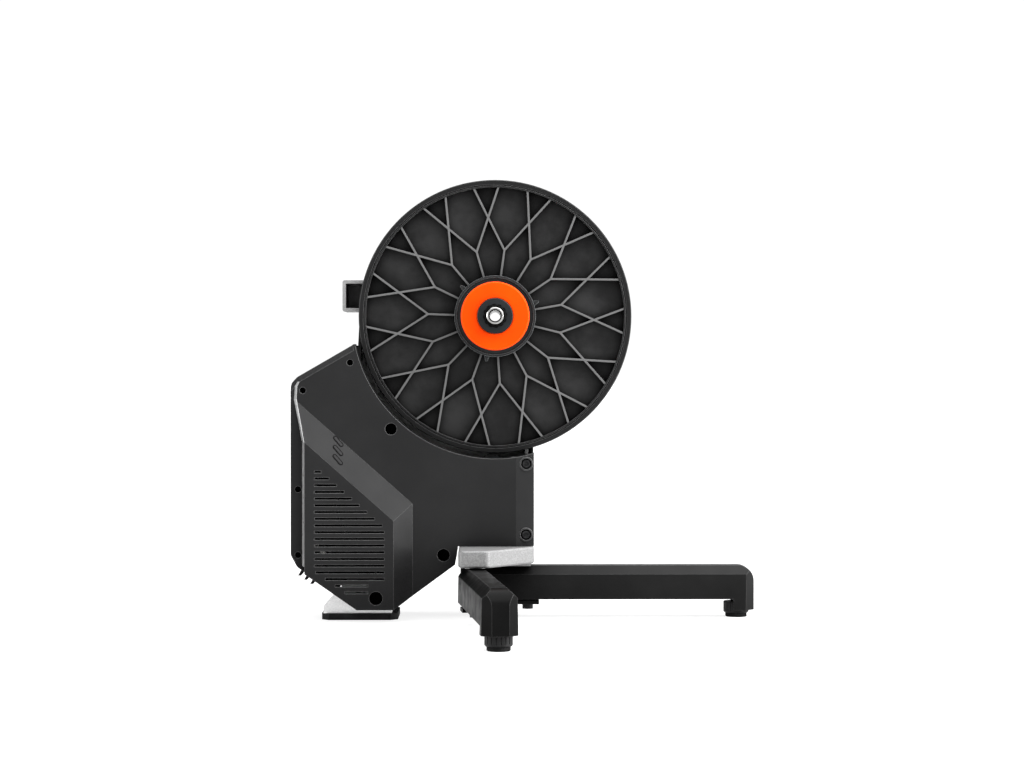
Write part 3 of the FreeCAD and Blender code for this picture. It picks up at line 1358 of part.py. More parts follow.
def make_power_socket():
    piece = start("power_socket")
    face = "-case_rear"
    centre = ("socket_depth", "-socket_drop")
    inner = f"{face}+14"
    block(piece, "side", face, inner, [(*centre, "socket_radius-fit_gap")])
    block(piece, "side", f"{face}-1", face, [(*centre, "socket_radius+1.5")])
    block(piece, "side", f"{face}-2", f"{face}+9", [(*centre, "2.9")], cut=True)
    block(piece, "side", f"{face}+1", f"{face}+9.5", [(*centre, "1.2")])


def make_status_lights():
    """Three pill-shaped lenses in a column on the bump's slanted flank."""
    foot, top, _, _ = bump_sections()
    first, second, third = [
        FreeCAD.Vector(value(x), value(y), value(z))
        for (x, z), y in ((foot[0], "-case_near"), (foot[1], "-case_near"), (top[1], "-bump_front"))
    ]
    run = (second - first).normalize()
    normal = run.cross(third - first).normalize()
    across = normal.cross(run)
    half = run * value("(light_length-light_width)/2")
    radius = value("light_width/2")
    lenses = []
    for number in range(3):
        centre = FreeCAD.Vector(value("-light_x"), 0, value(f"-light_drop-{number}*light_pitch"))
        centre.y = first.y - ((centre - first).dot(normal) + first.y * normal.y) / normal.y
        left, right = centre - half, centre + half
        side = across * radius
        outline = Part.Wire([
            Part.LineSegment(left + side, right + side).toShape(),
            Part.Arc(right + side, right + run * radius, right - side).toShape(),
            Part.LineSegment(right - side, left - side).toShape(),
            Part.Arc(left - side, left - run * radius, left + side).toShape(),
        ])
        outward = normal if normal.y < 0 else -normal
        lenses.append(Part.Face(outline).extrude(outward * value("light_height")))
    piece = doc.addObject("Part::Feature", "status_lights")
    piece.Label = "status_lights"
    piece.Shape = Part.makeCompound(lenses)
    piece.Placement = FreeCAD.Placement()
    LOOSE_PARTS.append("status_lights")


def check_and_export():
    for item in doc.Objects:
        if "Invalid" in item.State or "Error" in item.State:
            raise RuntimeError(f"{item.Label} failed: {item.State}")
    for item in doc.Objects:
        if item.TypeId == "PartDesign::Body" or item.Label in LOOSE_PARTS:
            if item.Shape.isNull() or not item.Shape.isValid():
                raise RuntimeError(f"{item.Label} has no sound shape")
            item.Shape.exportStep(f"parts/{item.Label}.step")


LOOSE_PARTS = []
make_axle_tube()
make_end_cap("right_end_cap", "-1")
make_end_cap("left_end_cap", "1")
make_bearings("pulley_bearings", "axle_radius+running_gap", "pulley_bearing_radius",
              "pulley_bearing_width", ["-hub_front+0.5", "-pulley_back-1.5-pulley_bearing_width"])
make_drive_pulley()
make_freehub_body()
make_bearings("freehub_bearings", "axle_radius+running_gap", "freehub_bearing_radius",
              "freehub_bearing_width", ["-freehub_front+4", "-freehub_back-1-freehub_bearing_width"])
make_cog_carrier()
make_sprocket()
make_inner_guard()
make_outer_guard()
make_lockring()
make_main_frame()
make_right_cover()
make_left_cover()
make_cover_screws("right_cover_screws", -1)
make_cover_screws("left_cover_screws", 1)
make_belt()
make_small_pulley()
make_flywheel()
make_flywheel_shaft()
make_flywheel_nut()
make_bearings("shaft_bearings", "shaft_radius+running_gap", "shaft_bearing_radius",
              "shaft_bearing_width", ["-frame_near+0.5", "frame_far-4-shaft_bearing_width"],
              FLYWHEEL_X, FLYWHEEL_Z)
make_idler()
make_magnet_shoe()
make_leg_bracket()
group_of_bolts("bracket_bolts", YOKE_BOLTS, "yoke_bolt_head", "6", "yoke_bolt_radius",
               "-yoke_top-yoke_bolt_bite", "-yoke_top+plinth_height")
make_rear_foot()
group_of_bolts("rear_foot_bolts", REAR_FOOT_SCREWS, "yoke_bolt_head", "6", "yoke_bolt_radius",
               "-foot_top-yoke_bolt_bite", "-foot_top+frame_wall")
make_front_leg()
make_side_leg("right", "-pivot_side", "-90+leg_lean")
make_side_leg("left", "pivot_side", "90-leg_lean")
make_leg_bolt("pivot_bolts", PIVOTS, "pivot_bolt_radius", "-yoke_top-bolt_ceiling")
make_pivot_washers()
make_circuit_board()
make_status_lights()
make_brake_motor()
make_power_socket()
doc.recompute()
check_and_export()
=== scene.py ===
"""Direct drive bike trainer: surface finishes, fine detail, floor, light and camera."""

import math

import bmesh
import bpy
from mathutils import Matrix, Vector


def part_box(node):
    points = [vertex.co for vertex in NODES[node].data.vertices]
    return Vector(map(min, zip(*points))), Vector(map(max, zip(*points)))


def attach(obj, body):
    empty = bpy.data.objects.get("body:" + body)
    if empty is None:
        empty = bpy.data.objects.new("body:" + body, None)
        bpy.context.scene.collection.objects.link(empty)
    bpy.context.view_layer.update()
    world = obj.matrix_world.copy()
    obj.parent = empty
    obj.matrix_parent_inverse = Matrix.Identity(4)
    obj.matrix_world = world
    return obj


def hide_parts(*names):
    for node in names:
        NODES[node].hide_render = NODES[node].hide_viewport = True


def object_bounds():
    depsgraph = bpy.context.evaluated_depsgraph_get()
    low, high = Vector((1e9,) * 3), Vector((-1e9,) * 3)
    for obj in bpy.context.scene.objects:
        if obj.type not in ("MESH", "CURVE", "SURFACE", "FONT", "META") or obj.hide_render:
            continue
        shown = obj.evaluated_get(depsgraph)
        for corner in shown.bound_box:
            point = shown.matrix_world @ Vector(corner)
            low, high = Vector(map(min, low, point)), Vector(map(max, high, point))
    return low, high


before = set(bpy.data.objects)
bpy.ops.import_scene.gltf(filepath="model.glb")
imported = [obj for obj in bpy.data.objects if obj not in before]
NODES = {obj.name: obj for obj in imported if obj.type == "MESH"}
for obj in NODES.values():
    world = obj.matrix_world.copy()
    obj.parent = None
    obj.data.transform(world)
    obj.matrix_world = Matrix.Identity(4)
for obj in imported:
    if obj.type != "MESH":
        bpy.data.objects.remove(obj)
cad_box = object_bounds()

MILLIMETRE = 0.001

# Places taken from the frame, in metres

PULLEY_LOW, PULLEY_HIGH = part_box("drive_pulley")
PULLEY_RADIUS = (PULLEY_HIGH[0] - PULLEY_LOW[0]) / 2
RIM_WIDTH = 8.2 * MILLIMETRE
RIM_INNER = PULLEY_RADIUS - RIM_WIDTH
RIB_SUNK = 3.3 * MILLIMETRE
RIB_TOP = PULLEY_LOW[1] + RIB_SUNK
FLOOR_Z = cad_box[0][2]

# Two distances from the axle, between which the painted shade in the end caps' bore gives way to their
# turned face

BORE_SHADE_EDGE = (7.3 * MILLIMETRE, 7.8 * MILLIMETRE)

# Key sockets on the screw heads

SOCKET_STEPS = 36
SOCKET_HEIGHT = 0.9 * MILLIMETRE
SOCKET_MARGIN = 0.35 * MILLIMETRE
SOCKET_CHAMFER = 0.25 * MILLIMETRE
SOCKET_SHOULDER = 0.6
SOCKET_SHARE = 0.5

# Status lights: half the way between the end circles, across and down, and the seal round each

LIGHT_HALF = (3.3 * MILLIMETRE, 3.8 * MILLIMETRE)
LIGHT_RADIUS = 1.5 * MILLIMETRE
LIGHT_PROUD = 0.9 * MILLIMETRE
LENS_SHOULDER = 0.4 * MILLIMETRE
LENS_TOP = 0.6 * MILLIMETRE
LENS_CHAMFER = 0.3 * MILLIMETRE
SEAL_WIDTH = 1.1 * MILLIMETRE
SEAL_TOP = 0.3 * MILLIMETRE
PILL_END_STEPS = 12

# The chamfer down the near cover's left side, in millimetres: X and Z of its crest, its width and height

COVER_FACE = -58.0
COVER_EDGE = ((-219.6, -73.6, 1.6, 0.5), (-222.2, -78.9, 2.2, 0.9), (-222.9, -93.0, 2.4, 1.2),
              (-212.9, -141.7, 3.2, 16.8), (-212.9, -279.6, 3.2, 16.8))
EDGE_SUNK = 0.2
EDGE_BACK = 0.8
EDGE_DROP = 0.4

# The toothed star round the lockring

TEETH = 12
STEPS_PER_TOOTH = 8
TOOTH_TIP = 1.7 * MILLIMETRE
TOOTH_ROOT = 0.7 * MILLIMETRE
STAR_LAP = 0.2 * MILLIMETRE
STAR_RISE = 0.4 * MILLIMETRE
STAR_SUNK = 0.2 * MILLIMETRE

# Studio

FLOOR_HALF = 28.0
FLOOR_GLOW = 0.8
HORIZON_SINE = (0.2, 0.45)
HORIZON_LIGHT = 1.05
DOME_LIGHT = 0.2
SUN_SPREAD = math.radians(95.0)
SUN_STRENGTH = 7.0
SUN_WAY = (-0.28, 0.12, -1.0)
LIGHT_AIM = (0.0, 0.0, -0.1)
CAMERA_PLACE = (0.0, -2.628, -0.0516)
CAMERA_TILT = math.radians(-0.549)
CAMERA_TURN = math.radians(-0.422)
CAMERA_LENS = 80.68
CAMERA_SENSOR = 36.0

# Which node takes which finish

COVER_NODES = ("right_cover", "left_cover")
# motor_bracket takes the legs' black, and magnet_shoe and brake_motor the black steel, as painted shade
# inside the casing
LEG_NODES = ("front_leg", "front_leg_plate", "motor_bracket")
SIDE_LEG_NODES = ("right_leg", "left_leg", "right_leg_plate", "left_leg_plate")
BLACK_STEEL_NODES = ("right_cover_screws", "left_cover_screws", "bracket_bolts", "rear_foot_bolts",
                     "front_leg_bolt", "flywheel_nut", "pivot_bolts", "magnet_shoe", "brake_motor")
BRIGHT_STEEL_NODES = ("pivot_washers", "flywheel_shaft", "idler_bolt", "idler_spacer", "shoe_pin",
                      "pulley_bearings", "freehub_bearings", "shaft_bearings",
                      "freehub_body", "sprocket")
ALLOY_NODES = ("axle_tube", "right_end_cap", "left_end_cap", "small_pulley")
KNOB_NODES = ("front_foot_knob", "right_foot_knob", "left_foot_knob", "power_socket")
RUBBER_NODES = ("front_foot_pad", "right_foot_pad", "left_foot_pad", "rear_foot_pad", "belt")
CARRIER_NODES = ("cog_carrier", "belt_idler")

# The casing's charcoal, which the smoked lenses share

CHARCOAL_DARK = (0.0095, 0.0095, 0.0098)
CHARCOAL_LIGHT = (0.0125, 0.0125, 0.0128)

# Noise lies round a half; this is the part of it that goes from one colour or gloss to the other

NOISE_LOW = 0.3
NOISE_HIGH = 0.7

# How far a normal turns on an edge, as one less its cosine, for the painted edge highlights, and how much
# open air a recess sees, for the painted shade

EDGE_HIGHLIGHT_TURN = (0.004, 0.09)
OPEN_AIR = (0.08, 0.85)
RAY_SAMPLES = 6


# Building a material from nodes

def grey(level):
    return (level, level, level)


class Finish:
    """One principled material whose colour, gloss and relief come from noise in object space."""

    def __init__(self, name, roughness=0.5, metallic=0.0, shine=0.5):
        self.material = bpy.data.materials.new(name)
        self.material.use_nodes = True
        self.tree = self.material.node_tree
        self.shader = self.tree.nodes["Principled BSDF"]
        self.shader.inputs["Roughness"].default_value = roughness
        self.shader.inputs["Metallic"].default_value = metallic
        self.shader.inputs["Specular IOR Level"].default_value = shine
        self.place = self.add("ShaderNodeTexCoord").outputs["Object"]
        self.normal = None

    def add(self, kind, **settings):
        node = self.tree.nodes.new(kind)
        for setting, worth in settings.items():
            setattr(node, setting, worth)
        return node

    def put(self, worth, entry):
        """Link a socket to an input, or set the input to a plain number."""
        if isinstance(worth, bpy.types.NodeSocket):
            self.tree.links.new(worth, entry)
        else:
            entry.default_value = worth

    def feed(self, node, **sockets):
        """Put a value to each input named, in lower case with underscores for blanks."""
        for name, worth in sockets.items():
            self.put(worth, node.inputs[name.replace("_", " ").title()])
        return node

    def stretched(self, scale):
        """Object coordinates scaled by a different number along each axis."""
        return self.feed(self.add("ShaderNodeMapping"), vector=self.place, scale=scale).outputs["Vector"]

    def noise(self, scale, detail=3.0, roughness=0.55, vector=None):
        node = self.add("ShaderNodeTexNoise")
        self.feed(node, vector=vector or self.place, scale=scale, detail=detail, roughness=roughness)
        return node.outputs["Fac"]

    def math(self, operation, first, second):
        node = self.add("ShaderNodeMath", operation=operation)
        self.put(first, node.inputs[0])
        self.put(second, node.inputs[1])
        return node.outputs["Value"]

    def between(self, worth, low, high, to_low=0.0, to_high=1.0):
        """Worth carried from low..high to to_low..to_high, clamped and eased."""
        node = self.add("ShaderNodeMapRange", interpolation_type="SMOOTHSTEP")
        self.feed(node, value=worth, from_min=low, from_max=high, to_min=to_low, to_max=to_high)
        return node.outputs["Result"]

    def along(self, axis):
        parts = self.feed(self.add("ShaderNodeSeparateXYZ"), vector=self.place)
        return parts.outputs[axis]

    def radius_from_axle(self):
        """Distance from the hub axle, which runs along Y through the origin."""
        x, z = self.along("X"), self.along("Z")
        squares = self.math("ADD", self.math("MULTIPLY", x, x), self.math("MULTIPLY", z, z))
        return self.math("SQRT", squares, 0.0)

    def even(self, colour):
        """One base colour all over."""
        self.shader.inputs["Base Color"].default_value = (*colour, 1)

    def tint(self, amount, dark, light):
        """Base colour that goes from dark to light with amount; either may be a colour or a socket."""
        node = self.add("ShaderNodeMix", data_type="RGBA")
        self.tree.links.new(amount, node.inputs["Factor"])
        entries = [entry for entry in node.inputs if entry.type == "RGBA"]
        for entry, colour in zip(entries, (dark, light)):
            self.put(colour if isinstance(colour, bpy.types.NodeSocket) else (*colour, 1), entry)
        result = [out for out in node.outputs if out.type == "RGBA"][0]
        self.tree.links.new(result, self.shader.inputs["Base Color"])
        return result

    def mottle(self, dark, light, scale, detail=3.0, low=NOISE_LOW, high=NOISE_HIGH):
        """Base colour in clouds between dark and light."""
        return self.tint(self.between(self.noise(scale, detail), low, high), dark, light)

    def gloss(self, low, high, scale, detail=3.0):
        """Roughness in clouds between low and high."""
        clouds = self.between(self.noise(scale, detail), NOISE_LOW, NOISE_HIGH, low, high)
        self.tree.links.new(clouds, self.shader.inputs["Roughness"])

    def relief(self, height, strength, depth):
        """Bump of the given depth in metres, on top of the edges made before."""
        node = self.feed(self.add("ShaderNodeBump"), height=height, strength=strength, distance=depth)
        if self.normal is not None:
            self.tree.links.new(self.normal, node.inputs["Normal"])
        self.normal = node.outputs["Normal"]
        self.tree.links.new(self.normal, self.shader.inputs["Normal"])

    def soft_edges(self, radius):
        """Highlights on sharp edges as if they were rounded by radius; called before any relief."""
        node = self.feed(self.add("ShaderNodeBevel", samples=RAY_SAMPLES), radius=radius)
        self.normal = node.outputs["Normal"]
        self.tree.links.new(self.normal, self.shader.inputs["Normal"])

    def base_source(self):
        """What feeds the base colour now."""
        return self.shader.inputs["Base Color"].links[0].from_socket

    def painted_edge_highlights(self, colour):
        """A painted highlight: a lighter line along each edge; called straight after soft_edges."""
        flat = self.add("ShaderNodeNewGeometry").outputs["Normal"]
        node = self.add("ShaderNodeVectorMath", operation="DOT_PRODUCT")
        self.put(self.normal, node.inputs[0])
        self.put(flat, node.inputs[1])
        turned = self.math("SUBTRACT", 1.0, node.outputs["Value"])
        self.tint(self.between(turned, *EDGE_HIGHLIGHT_TURN), self.base_source(), colour)

    def deep_shade(self, reach, colour=grey(0.0015)):
        """Painted shade in hollows no wider than reach: colour and highlight both fade."""
        node = self.feed(self.add("ShaderNodeAmbientOcclusion", samples=RAY_SAMPLES), distance=reach)
        open_air = self.between(node.outputs["AO"], *OPEN_AIR)
        self.tint(open_air, colour, self.base_source())
        shine = self.shader.inputs["Specular IOR Level"]
        self.tree.links.new(self.math("MULTIPLY", open_air, shine.default_value), shine)


# The finishes

def cover_finish():
    """Charcoal moulded plastic with a fine spark texture."""
    finish = Finish("cover_charcoal", shine=0.13)
    finish.mottle(dark=CHARCOAL_DARK, light=CHARCOAL_LIGHT, scale=14.0, detail=4.0)
    finish.gloss(low=0.38, high=0.46, scale=45.0)
    finish.soft_edges(radius=1.2 * MILLIMETRE)
    # Painted highlights along the edges, and painted shade in recesses and low down towards the floor
    finish.painted_edge_highlights(colour=grey(0.11))
    finish.deep_shade(reach=180 * MILLIMETRE)
    finish.relief(finish.noise(scale=1400.0, detail=2.0), strength=0.22, depth=0.12 * MILLIMETRE)
    return finish.material


def pulley_finish():
    """Near-black glass-filled plastic; the ribs' tops are painted lighter than the cell floors as a painted
    highlight, and the cell floors a shade lighter than the rim as a painted sheen.
    """
    finish = Finish("pulley_black", shine=0.1)
    rib_top_highlight = finish.between(finish.along("Y"), RIB_TOP + 1.6 * MILLIMETRE, RIB_TOP + 0.2 * MILLIMETRE)
    rim = finish.between(finish.radius_from_axle(), RIM_INNER - 0.8 * MILLIMETRE, RIM_INNER)
    floor = finish.mottle(dark=(0.011, 0.011, 0.0112), light=(0.025, 0.025, 0.0253), scale=30.0, detail=5.0)
    ribs_highlighted = finish.tint(rib_top_highlight, dark=floor, light=grey(0.11))
    finish.tint(rim, dark=ribs_highlighted, light=(0.009, 0.009, 0.0092))
    finish.gloss(low=0.38, high=0.52, scale=60.0)
    finish.soft_edges(radius=0.6 * MILLIMETRE)
    # Painted highlights along the edges, and painted shade in the cells next to the ribs
    finish.painted_edge_highlights(colour=grey(0.12))
    finish.deep_shade(reach=36 * MILLIMETRE)
    finish.relief(finish.noise(scale=900.0), strength=0.2, depth=0.15 * MILLIMETRE)
    return finish.material


def silver_finish(name, dark, light, hollow_shade=None):
    """Silver painted casting: fine pits and speckle, with painted shade in its recesses where a shade colour
    is given.
    """
    finish = Finish(name, metallic=0.1)
    speckle = finish.noise(scale=700.0, detail=4.0, roughness=0.7)
    finish.tint(finish.between(speckle, low=0.32, high=0.68), dark=grey(dark), light=grey(light))
    finish.gloss(low=0.34, high=0.5, scale=120.0, detail=4.0)
    finish.soft_edges(radius=1.0 * MILLIMETRE)
    if hollow_shade is not None:
        finish.deep_shade(reach=60 * MILLIMETRE, colour=grey(hollow_shade))
    pits = finish.noise(scale=260.0, detail=5.0, roughness=0.65)
    finish.relief(pits, strength=0.35, depth=0.35 * MILLIMETRE)
    return finish.material


def leg_finish(name, dark, light, shine):
    """Satin black powder coat with a slight orange peel."""
    finish = Finish(name, shine=shine)
    finish.mottle(dark=grey(dark), light=grey(light), scale=20.0, detail=4.0)
    finish.gloss(low=0.32, high=0.42, scale=70.0)
    finish.soft_edges(radius=0.9 * MILLIMETRE)
    # Painted highlights along the edges, and painted shade in recesses and near the floor
    finish.painted_edge_highlights(colour=grey(0.07))
    finish.deep_shade(reach=150 * MILLIMETRE)
    finish.relief(finish.noise(scale=620.0, detail=2.0), strength=0.25, depth=0.12 * MILLIMETRE)
    return finish.material


def black_steel_finish():
    """Black oxide steel in fine lighter clouds."""
    finish = Finish("black_oxide_steel", roughness=0.38, shine=0.12)
    finish.mottle(dark=(0.006, 0.006, 0.0065), light=(0.02, 0.02, 0.0205), scale=300.0, detail=4.0,
                  low=0.35, high=0.75)
    finish.soft_edges(radius=0.3 * MILLIMETRE)
    # Painted shade in recesses
    finish.deep_shade(reach=14 * MILLIMETRE)
    finish.relief(finish.noise(scale=900.0), strength=0.15, depth=0.08 * MILLIMETRE)
    return finish.material


def bright_steel_finish():
    """Zinc plated steel with turning marks."""
    finish = Finish("bright_steel", metallic=1.0)
    finish.mottle(dark=(0.5, 0.5, 0.49), light=(0.66, 0.66, 0.65), scale=80.0, detail=4.0)
    finish.gloss(low=0.22, high=0.36, scale=180.0)
    # Painted shade in recesses
    finish.deep_shade(reach=50 * MILLIMETRE)
    marks = finish.noise(scale=1.0, detail=2.0, vector=finish.stretched((90.0, 2400.0, 90.0)))
    finish.relief(marks, strength=0.2, depth=0.05 * MILLIMETRE)
    return finish.material


def alloy_finish():
    """Turned aluminium with fine rings, with painted shade in the axle's bore."""
    finish = Finish("turned_alloy", metallic=1.0)
    rings = finish.noise(scale=1.0, detail=2.0, vector=finish.stretched((60.0, 3000.0, 60.0)))
    ringed = finish.between(rings, NOISE_LOW, NOISE_HIGH)
    turned = finish.tint(ringed, dark=(0.32, 0.32, 0.315), light=(0.5, 0.5, 0.49))
    clear_of_bore_shade = finish.between(finish.radius_from_axle(), *BORE_SHADE_EDGE)
    finish.tint(clear_of_bore_shade, dark=grey(0.02), light=turned)
    finish.gloss(low=0.18, high=0.3, scale=140.0)
    finish.relief(rings, strength=0.15, depth=0.04 * MILLIMETRE)
    return finish.material


def knob_finish():
    """Hard black moulded plastic."""
    finish = Finish("knob_black", roughness=0.42, shine=0.12)
    finish.mottle(dark=(0.008, 0.008, 0.0083), light=(0.012, 0.012, 0.0123), scale=60.0)
    finish.soft_edges(radius=0.4 * MILLIMETRE)
    # Painted highlights along the edges, and painted shade in recesses
    finish.painted_edge_highlights(colour=grey(0.03))
    finish.deep_shade(reach=10 * MILLIMETRE)
    finish.relief(finish.noise(scale=1100.0, detail=2.0), strength=0.18, depth=0.1 * MILLIMETRE)
    return finish.material


def rubber_finish():
    """Dull rubber, a little dusty."""
    finish = Finish("black_rubber", shine=0.15)
    finish.mottle(dark=grey(0.009), light=grey(0.018), scale=90.0, detail=5.0, low=0.35, high=0.8)
    finish.gloss(low=0.7, high=0.88, scale=200.0)
    finish.soft_edges(radius=0.4 * MILLIMETRE)
    # Painted highlights along the edges, and painted shade in recesses
    finish.painted_edge_highlights(colour=grey(0.05))
    finish.deep_shade(reach=20 * MILLIMETRE)
    finish.relief(finish.noise(scale=700.0, detail=4.0), strength=0.3, depth=0.15 * MILLIMETRE)
    return finish.material


def orange_finish():
    """Vivid orange disc with a satin coat."""
    finish = Finish("orange_satin", shine=0.03)
    finish.mottle(dark=(0.9, 0.05, 0.001), light=(0.94, 0.06, 0.001), scale=25.0)
    finish.gloss(low=0.3, high=0.4, scale=90.0)
    finish.soft_edges(radius=0.6 * MILLIMETRE)
    # A painted highlight along the edges
    finish.painted_edge_highlights(colour=(1.0, 0.2, 0.04))
    finish.relief(finish.noise(scale=1300.0, detail=2.0), strength=0.1, depth=0.05 * MILLIMETRE)
    return finish.material


def guard_finish():
    """Black plastic guard ring with a painted highlight along its edges and painted shade in its recesses.
    """
    finish = Finish("guard_black", roughness=0.4, shine=0.12)
    finish.mottle(dark=(0.015, 0.016, 0.0165), light=(0.021, 0.022, 0.0225), scale=80.0)
    finish.soft_edges(radius=0.5 * MILLIMETRE)
    finish.painted_edge_highlights(colour=(0.2, 0.21, 0.215))
    finish.deep_shade(reach=3 * MILLIMETRE)
    finish.relief(finish.noise(scale=900.0, detail=2.0), strength=0.2, depth=0.1 * MILLIMETRE)
    return finish.material


def carrier_finish():
    """Slate grey anodised aluminium."""
    finish = Finish("slate_anodised", roughness=0.42, shine=0.1)
    finish.mottle(dark=(0.010, 0.0115, 0.0125), light=(0.014, 0.016, 0.0175), scale=50.0, detail=4.0)
    finish.soft_edges(radius=0.4 * MILLIMETRE)
    # Painted shade in recesses
    finish.deep_shade(reach=6 * MILLIMETRE)
    finish.relief(finish.noise(scale=900.0, detail=2.0), strength=0.15, depth=0.06 * MILLIMETRE)
    return finish.material


def lens_finish():
    """Smoked status lenses that look like the cover until they light."""
    finish = Finish("smoked_lens", shine=0.13)
    finish.mottle(dark=CHARCOAL_DARK, light=CHARCOAL_LIGHT, scale=120.0)
    finish.gloss(low=0.34, high=0.42, scale=150.0, detail=2.0)
    return finish.material


def chamfer_highlight_finish():
    """The cover's plastic painted lighter along its left side, a painted highlight."""
    finish = Finish("chamfer_painted_highlight")
    finish.mottle(dark=grey(0.17), light=grey(0.23), scale=60.0)
    finish.gloss(low=0.25, high=0.35, scale=150.0, detail=2.0)
    return finish.material


def seal_finish():
    """Matt black, for the seals round the lenses and for the lockring with its star."""
    finish = Finish("seal_black", shine=0.05)
    finish.mottle(dark=grey(0.0015), light=grey(0.003), scale=400.0)
    finish.gloss(low=0.5, high=0.65, scale=250.0, detail=2.0)
    return finish.material


def board_finish():
    """Green solder mask with faint copper lines under it."""
    finish = Finish("solder_mask")
    lines = finish.noise(scale=1.0, detail=2.0, vector=finish.stretched((60.0, 60.0, 420.0)))
    copper = finish.between(lines, low=0.5, high=0.56)
    finish.tint(copper, dark=(0.012, 0.10, 0.045), light=(0.04, 0.19, 0.09))
    finish.gloss(low=0.25, high=0.4, scale=90.0, detail=2.0)
    return finish.material


def iron_finish():
    """Machined cast iron with a turned face, darkened all over and in its recesses as painted shade inside
    the casing.
    """
    finish = Finish("machined_iron_painted_shade", metallic=0.7)
    finish.mottle(dark=(0.03, 0.03, 0.031), light=(0.08, 0.08, 0.082), scale=160.0, detail=5.0)
    finish.gloss(low=0.26, high=0.44, scale=60.0)
    finish.deep_shade(reach=60 * MILLIMETRE)
    finish.relief(finish.noise(scale=500.0, detail=4.0), strength=0.2, depth=0.1 * MILLIMETRE)
    return finish.material


def magnet_finish():
    """Nickel plate."""
    finish = Finish("nickel_plate", metallic=1.0)
    finish.even((0.7, 0.69, 0.66))
    finish.gloss(low=0.12, high=0.24, scale=120.0)
    return finish.material


def dress(material, *names):
    for name in names:
        for entry in NODES[name].material_slots:
            entry.material = material


def dress_all():
    """Every node of the frame gets its finish."""
    # One silver casting in three tones: the bracket's darker tone is painted shade and the foot's lighter
    # tone is painted light
    dress(silver_finish("silver_frame", dark=0.24, light=0.34, hollow_shade=0.06), "main_frame")
    dress(silver_finish("silver_bracket_painted_shade", dark=0.13, light=0.22, hollow_shade=0.07), "leg_bracket")
    dress(silver_finish("silver_foot_painted_light", dark=0.78, light=0.92), "rear_foot")
    dress(cover_finish(), *COVER_NODES)
    dress(pulley_finish(), "drive_pulley")
    dress(leg_finish("leg_powder_black", dark=0.006, light=0.009, shine=0.1), *LEG_NODES)
    # The side legs wear a darker, duller copy of the same powder coat, as painted shade
    dress(leg_finish("side_leg_black_painted_shade", dark=0.003, light=0.005, shine=0.05), *SIDE_LEG_NODES)
    dress(black_steel_finish(), *BLACK_STEEL_NODES)
    dress(bright_steel_finish(), *BRIGHT_STEEL_NODES)
    dress(alloy_finish(), *ALLOY_NODES)
    dress(knob_finish(), *KNOB_NODES)
    dress(rubber_finish(), *RUBBER_NODES)
    dress(guard_finish(), "inner_guard")
    dress(carrier_finish(), *CARRIER_NODES)
    dress(seal_finish(), "lockring")
    dress(orange_finish(), "outer_guard")
    dress(lens_finish(), "status_lights")
    dress(board_finish(), "circuit_board")
    dress(iron_finish(), "flywheel")
    dress(magnet_finish(), "brake_magnets")


# Reading a node's mesh

def joined_copy(name):
    """A bmesh of a node in world places, its doubled vertices joined."""
    source = bmesh.new()
    source.from_mesh(NODES[name].data)
    bmesh.ops.transform(source, matrix=NODES[name].matrix_world, verts=source.verts)
    bmesh.ops.remove_doubles(source, verts=source.verts, dist=MILLIMETRE / 1000)
    return source


def lumps_of(source):
    """The separate lumps of a bmesh, each a list of its vertices."""
    lumps = []
    seen = set()
    for first in source.verts:
        if first in seen:
            continue
        seen.add(first)
        lump = [first]
        for vertex in lump:
            for edge in vertex.link_edges:
                other = edge.other_vert(vertex)
                if other not in seen:
                    seen.add(other)
                    lump.append(other)
        lumps.append(lump)
    return lumps


def box_of(lump):
    places = [vertex.co for vertex in lump]
    low = Vector([min(place[axis] for place in places) for axis in range(3)])
    high = Vector([max(place[axis] for place in places) for axis in range(3)])
    return low, high


def facing(source):
    """The way that the largest faces on the camera's side look."""
    turned_enough = -0.3
    areas = {}
    for face in source.faces:
        if face.normal.y < turned_enough:
            way = tuple(round(part, 2) for part in face.normal)
            areas[way] = areas.get(way, 0.0) + face.calc_area()
    return Vector(max(areas, key=areas.get)).normalized()


# Fine detail pieces

def show(name, data):
    """A new object in the scene that holds a mesh, a light or a camera."""
    thing = bpy.data.objects.new(name, data)
    bpy.context.scene.collection.objects.link(thing)
    return thing


def join_rows(mesh, rows, closed=True):
    """Faces between neighbouring closed rows of vertices; closed joins the last row to the first."""
    pairs = list(zip(rows, rows[1:]))
    if closed:
        pairs.append((rows[-1], rows[0]))
    for row, after in pairs:
        for step in range(len(row)):
            further = (step + 1) % len(row)
            mesh.faces.new((row[step], row[further], after[further], after[step]))


def cap_rows(mesh, rows):
    """A closed solid: rows joined one to the next, with a face at each end."""
    join_rows(mesh, rows, closed=False)
    mesh.faces.new(rows[0])
    mesh.faces.new(rows[-1])


def add_piece(name, mesh, material, body):
    """Turn a bmesh into one object that belongs to a body and takes a slot's finish."""
    bmesh.ops.recalc_face_normals(mesh, faces=mesh.faces)
    data = bpy.data.meshes.new(name)
    mesh.to_mesh(data)
    mesh.free()
    data.materials.append(material)
    piece = show(name, data)
    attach(piece, body)
    return piece


def hex_reach(angle, half_flats):
    """How far a hexagon of that half width across flats reaches at an angle."""
    sixth = math.radians(60.0)
    return half_flats / math.cos((angle % sixth) - sixth / 2)


def turn_at(step, steps):
    """The angle at one of the equal steps of a full turn."""
    return math.radians(360.0 / steps) * step


